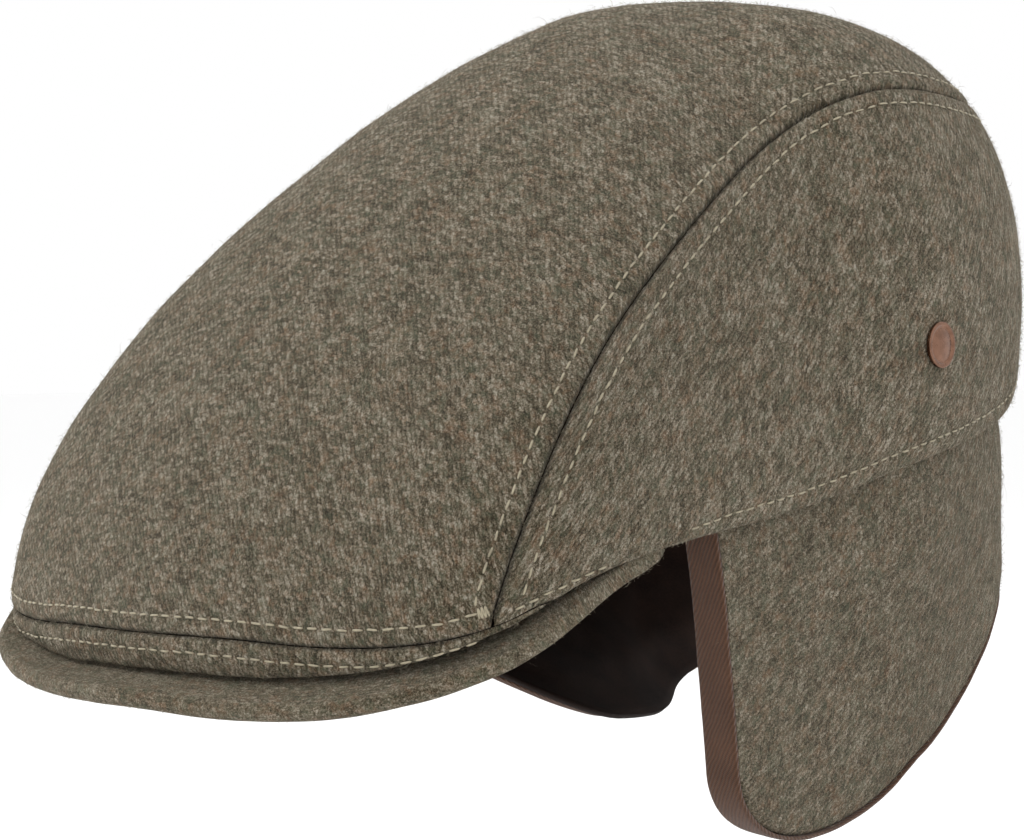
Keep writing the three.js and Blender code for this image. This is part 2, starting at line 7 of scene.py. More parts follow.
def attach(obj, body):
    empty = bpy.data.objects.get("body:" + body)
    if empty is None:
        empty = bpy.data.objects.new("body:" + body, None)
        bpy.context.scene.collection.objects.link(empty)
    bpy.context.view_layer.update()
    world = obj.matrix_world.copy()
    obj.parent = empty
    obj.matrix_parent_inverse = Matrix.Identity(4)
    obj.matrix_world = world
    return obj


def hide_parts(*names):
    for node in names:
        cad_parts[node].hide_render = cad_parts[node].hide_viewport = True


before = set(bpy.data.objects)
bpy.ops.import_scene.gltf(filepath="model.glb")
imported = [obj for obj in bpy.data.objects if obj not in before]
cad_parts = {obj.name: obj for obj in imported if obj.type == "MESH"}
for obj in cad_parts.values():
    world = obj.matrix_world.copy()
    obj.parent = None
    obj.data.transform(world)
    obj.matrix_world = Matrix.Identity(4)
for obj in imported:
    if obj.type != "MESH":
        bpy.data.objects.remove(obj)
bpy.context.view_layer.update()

random = np.random.default_rng(41)

cap = dict(
    crownTop=114.9,  # highest point over the rim's centre
    crownCentreY=9,
    rimPitch=math.radians(13.8),  # the rim slopes nose down
    wall=2.4,  # outer wool and its backing
    gap=0.3,
    edgeRoll=4,
    crownTilt=0.06,
    middleScale=0.0494,
    headHalfWidth=84,
    headHalfLength=100,
    cornerAngle=33,  # where the top panel, a side and the strip meet
    stripEnd=37,
)


def table(columns, *rows):
    names = columns.split()
    return {name: np.array([row[i] for row in rows], float) for i, name in enumerate(names)}


# Sections of the crown round its axis, angle 0 at the front and 180 at the back
crownRows = table(
    "angle reach height topReach sideOut sideUp middle tuck",
    (0, 160.8, -42.4, 67.4, 3.4, 39.8, 0.7, 3),
    (18, 159.1, -41.6, 56.6, 0.3, 61.1, -0.6, 2.5),
    (33, 155.9, -31.1, 43.8, 0, 76.6, -4.6, 1.5),
    (41, 140.2, -19.3, 42.2, 4.1, 69.1, -3.7, 2.3),
    (48, 123.4, -13.8, 43.4, 7.6, 65.1, -2, 3),
    (65, 98.1, -7.9, 49.4, 8.1, 70.3, -0.1, 2.4),
    (90, 88.1, 1.3, 59, 8.9, 89.5, -0.2, 2.1),
    (120, 87.3, 9.4, 63.4, 9.5, 91.5, -0.8, 1.4),
    (150, 95, 21, 59.8, 10.4, 79.3, 0, 1.4),
    (180, 99, 26, 61.1, 10.2, 82.2, 0.2, 2.1),
)
seamRows = table(
    "angle share",
    (33, 0.985), (38, 0.806), (45, 0.672), (55, 0.579), (68, 0.519),
    (85, 0.506), (105, 0.533), (130, 0.571), (155, 0.595), (180, 0.61),
)
stripRows = table("angle above", (0, 9.4), (12, 9), (18, 7.4), (25, 5.1), (33, 1.9), (38, 0.8))


def smoothCurve(xs, ys, startSlope=None, endSlope=None):
    # a cubic through the rows of a table, with a free end where no slope is given
    n = len(xs)
    width = np.diff(xs)
    rise = np.diff(ys) / width
    a = np.zeros((n, n))
    right = np.zeros(n)
    for i in range(1, n - 1):
        a[i, i - 1], a[i, i], a[i, i + 1] = width[i], 2 * (width[i - 1] + width[i]), width[i - 1]
        right[i] = 3 * (width[i] * rise[i - 1] + width[i - 1] * rise[i])
    if startSlope is None:
        a[0, 0], a[0, 1], right[0] = 2, 1, 3 * rise[0]
    else:
        a[0, 0], right[0] = 1, startSlope
    if endSlope is None:
        a[-1, -1], a[-1, -2], right[-1] = 2, 1, 3 * rise[-1]
    else:
        a[-1, -1], right[-1] = 1, endSlope
    slopes = np.linalg.solve(a, right)

    def at(x):
        x = np.clip(x, xs[0], xs[-1])
        i = np.clip(np.searchsorted(xs, x) - 1, 0, n - 2)
        u = (x - xs[i]) / width[i]
        v = 1 - u
        return (ys[i] * (1 + 2 * u) * v * v + slopes[i] * width[i] * u * v * v
                + ys[i + 1] * (3 - 2 * u) * u * u - slopes[i + 1] * width[i] * v * u * u)
    return at


def unit(v):
    return v / np.maximum(np.linalg.norm(v, axis=-1, keepdims=True), 1e-9)


def smoothStep(x, low, high):
    t = np.clip((np.asarray(x, float) - low) / (high - low), 0, 1)
    return t * t * (3 - 2 * t)


def mix(a, b, t):
    return a + (b - a) * t


def runAlong(points):
    # how far along a line each of its points lies, or along each row of points
    steps = np.linalg.norm(np.diff(points, axis=-2), axis=-1)
    return np.concatenate([np.zeros(steps.shape[:-1] + (1,)), np.cumsum(steps, axis=-1)], axis=-1)


crown = {k: smoothCurve(crownRows["angle"], crownRows[k], 0, 0) for k in crownRows if k != "angle"}
sideShareCurve = smoothCurve(seamRows["angle"], seamRows["share"], None, 0)
stripAbove = smoothCurve(stripRows["angle"], stripRows["above"], 0, None)


def folded(angle):
    return np.abs((np.asarray(angle, float) + 540) % 360 - 180)


def crownPoint(angle, share):
    # share runs down a section from 0 at the top to 1 at the lower edge
    angle, share = np.broadcast_arrays(np.asarray(angle, float), np.asarray(share, float))
    at = folded(angle)
    c = {name: crown[name](at) for name in crown}
    left = 1 - share
    topWeight, sideWeight, edgeWeight = 3 * share * left ** 2, 3 * share ** 2 * left, share ** 3
    shoulder = c["reach"] + c["sideOut"]
    fall = c["topReach"] * cap["crownTilt"] * np.cos(np.radians(at))
    swell = c["middle"] * share ** 3 * left ** 2 / cap["middleScale"]
    radius = topWeight * c["topReach"] + sideWeight * shoulder + edgeWeight * c["reach"] + swell
    z = (left ** 3 * cap["crownTop"] + topWeight * (cap["crownTop"] - fall)
         + sideWeight * (c["height"] + c["sideUp"]) + edgeWeight * c["height"] + swell)
    fromEdge = 3 * np.hypot(shoulder - c["reach"], c["sideUp"]) * left
    radius = radius + c["tuck"] * (1 - np.exp(-fromEdge / cap["edgeRoll"])) * np.clip(share / 0.4, 0, 1) ** 2
    turn = np.radians(angle)
    return np.stack([radius * np.sin(turn), cap["crownCentreY"] - radius * np.cos(turn), z], -1)


def crownNormal(angle, share):
    angle, share = np.broadcast_arrays(np.asarray(angle, float), np.maximum(share, 0.02))
    low = np.minimum(share + 0.002, 1)
    along = crownPoint(angle + 0.2, share) - crownPoint(angle - 0.2, share)
    across = crownPoint(angle, low) - crownPoint(angle, low - 0.004)
    return unit(-np.cross(along, across))


# How far up from the lower edge a share lies, for every angle, as a table to look up
edgeStep = 0.5
edgeAngles = np.arange(0, 180.1, edgeStep)
edgeShares = np.linspace(1, 0.6, 161)
edgeLengths = runAlong(crownPoint(edgeAngles[:, None], edgeShares[None]))


def shareAbove(angle, length):
    angle, length = np.broadcast_arrays(np.atleast_1d(folded(angle)), np.asarray(length, float))
    out = np.empty(angle.shape)
    for i, (a, wanted) in enumerate(zip(angle.flat, length.flat)):
        at = min(a / edgeStep, len(edgeAngles) - 1.001)
        k = int(at)
        row = mix(edgeLengths[k], edgeLengths[k + 1], at - k)
        out.flat[i] = np.interp(wanted, row, edgeShares)
    return out


stripAngles = np.arange(0, 40.1, 0.5)
stripShares = shareAbove(stripAngles, stripAbove(stripAngles))
stripShareCurve = smoothCurve(stripAngles, stripShares, 0, None)


def sideSeam(angle):
    return sideShareCurve(np.abs(angle))


def stripSeam(angle):
    return stripShareCurve(np.abs(angle))


def besideSeam(seam, angle, distance):
    # a place beside a seam, positive towards the top
    angle = np.asarray(angle, float)
    share = seam(angle)
    here = crownPoint(angle, share)
    along = crownPoint(angle + 0.1, seam(angle + 0.1)) - crownPoint(angle - 0.1, seam(angle - 0.1))
    side = unit(np.cross(crownNormal(angle, share), along))
    byAngle = (crownPoint(angle + 0.1, share) - here) / 0.1
    byShare = (here - crownPoint(angle, share - 0.001)) / 0.001
    aa, ab, bb = (byAngle * byAngle).sum(-1), (byAngle * byShare).sum(-1), (byShare * byShare).sum(-1)
    pa, pb = (side * byAngle).sum(-1), (side * byShare).sum(-1)
    det = aa * bb - ab * ab
    return angle + distance * (pa * bb - pb * ab) / det, share + distance * (pb * aa - pa * ab) / det


def soft(points, size, seed):
    # even noise from -1 to 1 over points in millimetres
    flat = np.asarray(points, float).reshape(-1, 3) / size + seed * 7.31
    return np.array([noise.noise(Vector(p)) for p in flat]).reshape(np.shape(points)[:-1])


def slackOf(points, layers):
    # layers of soft waves, each with its height, its size and its seed
    return sum(height * soft(points, size, seed) for height, size, seed in layers)


def nearOn(points, line):
    # distance to a line of points, and how far along it the nearest place lies
    flat = points.reshape(-1, 3)
    start, step = line[:-1], np.diff(line, axis=0)
    length = np.linalg.norm(step, axis=1)
    run = np.concatenate([[0], np.cumsum(length)[:-1]])
    distance, along = np.empty(len(flat)), np.empty(len(flat))
    for i in range(0, len(flat), 1500):
        away = flat[i:i + 1500, None] - start[None]
        t = np.clip((away * step).sum(-1) / (length ** 2), 0, 1)
        d = np.linalg.norm(away - t[..., None] * step, axis=-1)
        k = d.argmin(1)
        rows = np.arange(len(k))
        distance[i:i + 1500] = d[rows, k]
        along[i:i + 1500] = run[k] + t[rows, k] * length[k]
    return distance.reshape(points.shape[:-1]), along.reshape(points.shape[:-1])


mirrorX = np.array([-1, 1, 1])

# Seams and stitch rows as lines on the smooth crown
sewing = dict(
    rowOut=4.8,  # from a seam to the stitch row beside it
    stripOut=3.9,
    backTurn=2.9,  # degrees from the back seam to its row
    hemUp=5,
    grooveDeep=1.05,
    grooveWide=0.62,
    slackWide=0.55,  # of the strip's and the back's grooves
    puff=0.3,
    pucker=0.15,  # gathers under the stitch rows
    ripple=0.10,  # smaller ones along the seam's own edge
    hemRipple=0.12,
    threadDip=0.32,
    threadWide=0.62,
    slack=((0.75, 46, 1), (0.34, 21, 2), (0.16, 9.5, 3)),
)
frontAngles = np.arange(-37, 37.1, 0.4)
stripLine = crownPoint(frontAngles, stripSeam(frontAngles))
sideAngles = np.concatenate([np.arange(33, 48, 0.4), np.arange(48, 180.1, 1)])
sideLine = crownPoint(sideAngles, sideSeam(sideAngles))
backShares = np.linspace(sideSeam(180.0), 1, 40)
backLine = crownPoint(180, backShares)


upperAngles = np.arange(-32.6, 32.7, 0.4)
lowerAngles = np.arange(-33, 33.1, 0.4)
lowerOut = np.minimum(sewing["stripOut"], 0.7 * stripAbove(np.abs(lowerAngles)) + 0.2)
topRowAngles = np.concatenate([np.arange(33, 48, 0.3), np.arange(48, 180.1, 1)])
sideRowAngles = np.concatenate([np.arange(33.6, 50, 0.3), np.arange(50, 177.6, 1)])
hemRows = table("angle above", (33, 3.4), (37, 2.8), (41, 1.9), (46, 2.2), (52, 4), (60, 4.8), (180, 5))
hemAngles = np.concatenate([np.arange(34.4, 60, 0.4), np.arange(60, 180.1, 1)])
hemAbove = smoothCurve(hemRows["angle"], hemRows["above"])(hemAngles)
rowLines = dict(
    stripUpper=crownPoint(*besideSeam(stripSeam, upperAngles, sewing["stripOut"])),
    stripLower=crownPoint(*besideSeam(stripSeam, lowerAngles, -lowerOut)),
    topBeside=crownPoint(*besideSeam(sideSeam, topRowAngles, sewing["rowOut"])),
    sideBeside=crownPoint(*besideSeam(sideSeam, sideRowAngles, -sewing["rowOut"])),
    hem=crownPoint(hemAngles, shareAbove(hemAngles, hemAbove)),
    back=crownPoint(180 - sewing["backTurn"], np.linspace(sideSeam(180.0) + 0.035, 0.965, 40)),
)
for name in ("topBeside", "sideBeside", "hem", "back"):
    rowLines[name + "Right"] = rowLines[name] * mirrorX
seamLines = dict(strip=stripLine, sideLeft=sideLine, sideRight=sideLine * mirrorX, back=backLine)
panelSewing = dict(
    top=(("strip", "sideLeft", "sideRight"), ("stripUpper", "topBeside", "topBesideRight")),
    left=(("strip", "sideLeft", "back"), ("sideBeside", "hem", "back")),
    right=(("strip", "sideRight", "back"), ("sideBesideRight", "hemRight", "backRight")),
    strip=(("strip",), ("stripLower",)),
)


farAway = 9.0  # millimetres from a seam, past which its painted shade doesn't show


def clothRise(points, panel):
    # how far the wool stands over the smooth crown, and how near a seam each place is
    seams, rows = panelSewing[panel]
    rise = slackOf(points, sewing["slack"])
    nearSeam = np.full(points.shape[:-1], 1e3)
    for k, name in enumerate(seams):
        d, along = nearOn(points, seamLines[name])
        turn = np.degrees(np.arctan2(np.abs(points[..., 0]), cap["crownCentreY"] - points[..., 1]))
        if name == "strip":  # a slack seam, all but shut at its two ends
            show = 1 - 0.8 * smoothStep(turn, 28, 36)
            deep, wide, puff = 0.8 * show, sewing["slackWide"], 0.22 * show
        elif name == "back":
            show = 0.8
            deep, wide, puff = sewing["grooveDeep"] * 0.7, sewing["slackWide"], sewing["puff"] * 0.7
        else:
            show = 1 - 0.45 * smoothStep(turn, 75, 125)
            deep, wide = sewing["grooveDeep"] * show, sewing["grooveWide"]
            puff = sewing["puff"] * (0.4 + 0.6 * show)
        # distance to the seam, stretched where the groove is shallow, for the painted shade in the seam
        # grooves
        nearSeam = np.minimum(nearSeam, d / np.maximum(show, 0.3))
        pucker = np.sin(along / 1.62 + 1.4 * np.sin(along / 23 + k) + 2.1 * np.sin(along / 11.3))
        lively = 0.55 + 0.45 * np.sin(along / 31 + 2 * k)
        ripple = np.sin(along / 2.9 + 1.1 * np.sin(along / 17))
        rise = rise + sewing["pucker"] * lively * pucker * np.exp(-((d - 5) / 3.2) ** 2)
        rise = rise + sewing["ripple"] * ripple * np.exp(-((d - 1.6) / 1.1) ** 2)
        rise = rise + puff * (1 - smoothStep(d, 3.7, 6.4)) * smoothStep(d, 0.2, 1.7)
        rise = rise - deep * np.exp(-(d / wide) ** 2)
    for name in rows:
        d, along = nearOn(points, rowLines[name])
        rise = rise - sewing["threadDip"] * np.exp(-(d / sewing["threadWide"]) ** 2)
        if name.startswith("hem"):
            below = np.clip((sewing["hemUp"] - d) / sewing["hemUp"], 0, 1)
            ripple = np.sin(along / 1.8 + 1.3 * np.sin(along / 13))
            rise = rise + sewing["hemRipple"] * ripple * np.exp(-(d / 4) ** 2) * below
    return rise, nearSeam


# Making meshes

def alone(obj):
    bpy.ops.object.select_all(action="DESELECT")
    obj.select_set(True)
    bpy.context.view_layer.objects.active = obj


def fineGrid(name, places, uv, inside=None, nearSeam=None):
    # a grid laid through columns of places in millimetres, closed where its places meet
    places, uv = np.swapaxes(places, 0, 1), np.swapaxes(uv, 0, 1)
    rows, columns = places.shape[:2]
    bpy.ops.object.select_all(action="DESELECT")
    bpy.ops.mesh.primitive_grid_add(x_subdivisions=columns - 1, y_subdivisions=rows - 1, size=1)
    obj = bpy.context.object
    obj.name = name
    mesh = obj.data
    mesh.name = name
    mesh.vertices.foreach_set("co", (places.reshape(-1, 3) * 0.001).astype(np.float32).ravel())
    corner = np.empty(len(mesh.loops), np.int32)
    mesh.loops.foreach_get("vertex_index", corner)
    layer = mesh.uv_layers[0]
    layer.name = "cloth"
    layer.data.foreach_set("uv", (uv.reshape(-1, 2) * 0.001)[corner].astype(np.float32).ravel())
    if inside is not None:  # the rows that lie inside the cap
        face = np.arange(len(mesh.polygons)) // (columns - 1)
        mesh.polygons.foreach_set("material_index", np.asarray(inside, np.int32)[face])
    if nearSeam is not None:
        # distance to the seams, which darkens the colour there as painted shade
        attribute = mesh.attributes.new("seamShadeDistance", "FLOAT", "POINT")
        values = np.broadcast_to(nearSeam, (columns, rows)).T
        attribute.data.foreach_set("value", values.astype(np.float32).ravel())
    bpy.ops.object.mode_set(mode="EDIT")
    bpy.ops.mesh.select_all(action="SELECT")
    bpy.ops.mesh.remove_doubles(threshold=0.00001)
    bpy.ops.mesh.normals_make_consistent(inside=False)
    bpy.ops.object.mode_set(mode="OBJECT")
    bpy.ops.object.shade_smooth()
    mesh.update()
    return obj


def alongRows(path, near, count, far=()):
    # rows by length of cloth down each column: fine near the ends, even between
    lengths = runAlong(path)
    total = lengths[:, -1]
    near, far = np.asarray(near, float), np.asarray(far, float)
    out = np.empty((path.shape[0], len(near) + count + len(far)))
    for i, whole in enumerate(total):
        room = (near[-1] if len(near) else 0) + (far[-1] if len(far) else 0)
        squeeze = min(1, whole * 0.8 / room) if room else 1
        a = near * squeeze
        b = whole - far[::-1] * squeeze
        first = a[-1] if len(a) else 0
        last = b[0] if len(b) else whole
        spots = np.linspace(first, last, count + (1 if len(near) else 0) + (1 if len(far) else 0))
        spots = spots[(1 if len(near) else 0):(len(spots) - (1 if len(far) else 0))]
        wanted = np.concatenate([a, spots, b])
        out[i] = np.interp(wanted, lengths[i], np.arange(path.shape[1]))
    return out, total


edgeSteps = [0, 0.15, 0.35, 0.6, 0.9, 1.25, 1.65, 2.1, 2.7, 3.3, 3.9,
             4.35, 4.65, 4.95, 5.25, 5.7, 6.4, 7.4, 8.8, 10.6]  # close at the groove and at the stitch row


def atIndex(values, index):
    # reads rows of values at fractional places
    low = np.clip(np.floor(index).astype(int), 0, values.shape[1] - 2)
    t = index - low
    take = np.take_along_axis
    return take(values, low, 1) * (1 - t) + take(values, low + 1, 1) * t


# The top panel, from the strip over the crown to the back
topPanel = dict(columnStep=2.05, rows=58, insideRows=26, pathSteps=320)


def evenAngles(line, low, high, size):
    # angles between two ends at even steps of length along a line
    fine = np.linspace(low, high, 900)
    run = runAlong(line(fine))
    count = max(2, int(round(run[-1] / size)))
    return np.interp(np.linspace(0, run[-1], count + 1), run, fine)


def makeTopPanel():
    size = topPanel["columnStep"]
    corner = cap["cornerAngle"]
    front = evenAngles(lambda a: crownPoint(a, stripSeam(a)), -corner + 0.15, corner - 0.15, size)
    side = evenAngles(lambda a: crownPoint(a, sideSeam(a)), corner + 0.15, 180, size)
    fa, fs = besideSeam(stripSeam, front, cap["gap"] / 2)
    sa, ss = besideSeam(sideSeam, side, cap["gap"] / 2)
    sa[-1] = 180
    angle = np.concatenate([fa, sa, 360 - sa[-2::-1], fa[:1] + 360])
    share = np.concatenate([fs, ss, ss[-2::-1], fs[:1]])
    last = topPanel["pathSteps"] - 1
    path = crownPoint(angle[:, None], np.maximum(share[:, None] * np.linspace(0, 1, last + 1), 1e-4))
    down = 1 - alongRows(path[:, ::-1], edgeSteps, topPanel["rows"])[0] / last  # from the edge up to the top
    shares = np.maximum(share[:, None] * down, 1e-4)
    base = crownPoint(angle[:, None], shares)
    normal = crownNormal(angle[:, None], shares)
    rise, nearSeam = clothRise(base, "top")
    outer = base + normal * rise[..., None]
    outer[:, -1] = outer[:, -1].mean(0)
    insideDown = np.linspace(0, 1, topPanel["insideRows"])
    insideShares = np.maximum(share[:, None] * (1 - insideDown), 1e-4)
    insideBase = crownPoint(angle[:, None], insideShares)
    depth = slackOf(insideBase, sewing["slack"]) - cap["wall"]
    inner = insideBase + crownNormal(angle[:, None], insideShares) * depth[..., None]
    inner[:, -1] = inner[:, -1].mean(0)
    places = np.concatenate([inner[:, ::-1], outer], axis=1)
    lengthOut = atIndex(runAlong(path), np.clip(down * last, 0, last))
    turn = np.radians(angle)[:, None]
    uvOuter = np.stack([lengthOut * np.sin(turn), -lengthOut * np.cos(turn)], -1)
    uvInner = np.repeat(uvOuter[:, :1], inner.shape[1], axis=1)
    uv = np.concatenate([uvInner, uvOuter], axis=1)
    nearSeam = np.concatenate([np.full(inner.shape[:2], farAway), nearSeam], axis=1)
    inside = np.arange(places.shape[1]) < inner.shape[1] - 1
    return fineGrid("topPanel", places, uv, inside, nearSeam)


# A side panel, with a rolled hem below
sidePanel = dict(
    columnStep=2.05, rows=34, insideRows=22, pathSteps=240,
    hemRadius=1.2,
    hemRows=5,  # the rows that bend into the hem
    hemNormalRow=-8,  # the row that gives the hem its direction
)


def makeSidePanel(side):
    size = sidePanel["columnStep"]
    corner = cap["cornerAngle"]
    backMargin = math.degrees(cap["gap"] / 2 / 108)
    start = corner + 0.12
    first = evenAngles(lambda a: crownPoint(a, stripSeam(a)), start, cap["stripEnd"], size)
    last = evenAngles(lambda a: crownPoint(a, 1), cap["stripEnd"], 180 - backMargin, size)[1:]
    low = np.concatenate([first, last])
    topAngle, topShare = besideSeam(sideSeam, low, -cap["gap"] / 2)
    fixed = smoothStep(low, 140, 150)
    topAngle = mix(topAngle, low, fixed)  # the columns come upright towards the back
    bottomAngle, bottomShare = besideSeam(stripSeam, np.minimum(low, 38.5), cap["gap"] / 2)
    hemmed = smoothStep(low, 35.8, 38.2)
    bottomAngle, bottomShare = mix(bottomAngle, low, hemmed), mix(bottomShare, 1.0, hemmed)

    def between(t):
        # angles and shares from the side seam at 0 down to the lower edge at 1
        eased = t + 0.25 * t * (1 - t)
        return (mix(topAngle[:, None], bottomAngle[:, None], eased),
                mix(topShare[:, None], bottomShare[:, None], eased))

    angles, shares = between(np.linspace(0, 1, sidePanel["pathSteps"]))
    path = crownPoint(angles, shares)
    index, total = alongRows(path, edgeSteps, sidePanel["rows"], edgeSteps)
    angle, share = atIndex(angles, index), atIndex(shares, index)
    base = crownPoint(angle, share)
    normal = crownNormal(angle, share)
    rise, nearSeam = clothRise(base, "left")
    outer = base + normal * rise[..., None]
    # the hem: the cloth turns under in a half circle, where there is no strip below it
    hemmed = hemmed[:, None, None]
    radius, row = sidePanel["hemRadius"], sidePanel["hemNormalRow"]
    down = unit(base[:, -1:] - base[:, row - 1:row])
    out = normal[:, row:row + 1]
    centre = base[:, -1:] - out * radius - down * radius + out * rise[:, row:row + 1, None]
    turns = np.radians(np.arange(0, 181, 12))
    roll = centre + radius * (np.cos(turns)[None, :, None] * out + np.sin(turns)[None, :, None] * down)
    keep = index.shape[1] - sidePanel["hemRows"]  # rows that stay above the roll
    grooveEnd = outer[:, -1:] - normal[:, -1:] * 0.7 * np.linspace(0, 1, len(turns))[None, :, None]
    closing = mix(grooveEnd, roll, hemmed)
    towardsRoll = np.linspace(0.1, 0.95, sidePanel["hemRows"])[None, :, None]
    rollStart = mix(outer[:, keep - 1:keep], roll[:, :1], towardsRoll)
    lower = mix(outer[:, keep:], rollStart, hemmed)
    outer = np.concatenate([outer[:, :keep], lower, closing], axis=1)
    insideAngles, insideShares = between(np.linspace(1, 0, sidePanel["insideRows"]))
    insideBase = crownPoint(insideAngles, insideShares)
    depth = slackOf(insideBase, sewing["slack"]) - cap["wall"]
    inner = insideBase + crownNormal(insideAngles, insideShares) * depth[..., None]
    inner[:, :1] = mix(inner[:, :1], closing[:, -1:], hemmed)
    places = np.concatenate([outer, inner, outer[:, :1]], axis=1)
    # cloth coordinates: along the hem, and up from it
    up = total[:, None] - atIndex(runAlong(path), index)
    uvOuter = np.stack([runAlong(path[:, -1])[:, None] + 0 * up, up], -1)
    under = np.repeat(uvOuter[:, -1:], len(turns) + inner.shape[1] + 1, axis=1)
    under[:, :len(turns), 1] -= radius * turns
    under[:, len(turns):, 1] -= radius * math.pi + 0.5 * np.arange(inner.shape[1] + 1)
    uv = np.concatenate([uvOuter, under], axis=1)
    nearUnder = np.repeat(mix(nearSeam[:, -1:], farAway, hemmed[:, 0]), under.shape[1], axis=1)
    nearSeam = np.concatenate([nearSeam, nearUnder], axis=1)
    if side < 0:
        places = places * mirrorX
    inside = np.arange(places.shape[1]) > outer.shape[1] - 3
    name = "sidePanelLeft" if side > 0 else "sidePanelRight"
    return fineGrid(name, places, uv, inside, nearSeam)


# The front strip, a crescent folded under at its lower edge
frontStrip = dict(columnStep=1.6, rows=12, insideRows=7, hemSteps=(0.3, 1.2), hemRadius=1.2)


def makeFrontStrip():
    end = cap["stripEnd"]
    low = evenAngles(lambda a: crownPoint(a, 1), -end, end, frontStrip["columnStep"])
    topAngle, topShare = besideSeam(stripSeam, low, -cap["gap"] / 2)
    t = np.linspace(0, 1, 120)
    angles = mix(topAngle[:, None], low[:, None], t)
    shares = mix(topShare[:, None], 1.0, t)
    path = crownPoint(angles, shares)
    index, total = alongRows(path, edgeSteps[:8], frontStrip["rows"], frontStrip["hemSteps"])
    angle, share = atIndex(angles, index), atIndex(shares, index)
    base = crownPoint(angle, share)
    normal = crownNormal(angle, share)
    rise, nearSeam = clothRise(base, "strip")
    outer = base + normal * rise[..., None]
    radius = np.minimum(frontStrip["hemRadius"], total * 0.35)[:, None, None]
    down = unit(base[:, -1:] - base[:, -3:-2])
    turnNormal = normal[:, -1:]
    centre = base[:, -1:] - turnNormal * radius - down * radius * 0.9 + turnNormal * rise[:, -1:, None]
    turns = np.radians(np.arange(10, 181, 10))[None, :, None]
    roll = centre + radius * (np.cos(turns) * turnNormal + np.sin(turns) * down)
    insideT = np.linspace(0.8, 0, frontStrip["insideRows"])
    insideAngles = mix(topAngle[:, None], low[:, None], insideT)
    insideShares = mix(topShare[:, None], 1.0, insideT)
    insideBase = crownPoint(insideAngles, insideShares)
    thin = np.minimum(cap["wall"], 0.6 + total[:, None] * 0.35)
    depth = slackOf(insideBase, sewing["slack"]) - thin
    inner = insideBase + crownNormal(insideAngles, insideShares) * depth[..., None]
    places = np.concatenate([outer[:, :-1], roll, inner, outer[:, :1]], axis=1)
    across = runAlong(places)
    uv = np.stack([runAlong(path[:, -1])[:, None] + 0 * across, -across], -1)
    hidden = places.shape[1] - index.shape[1] + 1
    nearSeam = np.concatenate([nearSeam[:, :-1], np.full((len(low), hidden), farAway)], axis=1)
    for end in (0, -1):  # the crescent comes to a point
        places[end] = places[end].mean(0)
    inside = np.arange(places.shape[1]) > index.shape[1] + turns.size
    return fineGrid("frontStrip", places, uv, inside, nearSeam)


# The peak, a stiff plate covered in wool
peak = dict(
    endAngle=47, taperAngle=36, columnStep=1.7, endWidth=6, endRound=2.4,
    thickness=4.5, sideRound=0.9, flatFrom=24,  # towards its sides the rim is flatter, from this angle on
    underEdge=0.9, underEnd=-1.2, underAngles=(30, 40),  # how far under the crown's edge it starts
    tipBend=10,
    slack=((0.30, 17, 5), (0.16, 7, 6)),
)
peakRows = table(
    "angle out dropLeft dropRight",
    (0, 10.9, 7.2, 7.2), (18, 7.9, 10.3, 6), (33, 1.5, 10.2, 5.7),
    (38, 0.5, 9.6, 5.6), (42, -0.1, 5.8, 4.6), (47, -0.8, 1.5, 1.5),
)


def headReach(angle):
    turn = np.radians(angle)
    across, along = np.sin(turn) / cap["headHalfWidth"], np.cos(turn) / cap["headHalfLength"]
    offset = cap["crownCentreY"] / cap["headHalfLength"]
    a, b, c = across ** 2 + along ** 2, -2 * along * offset, offset ** 2 - 1
    return (-b + np.sqrt(b * b - 4 * a * c)) / (2 * a)


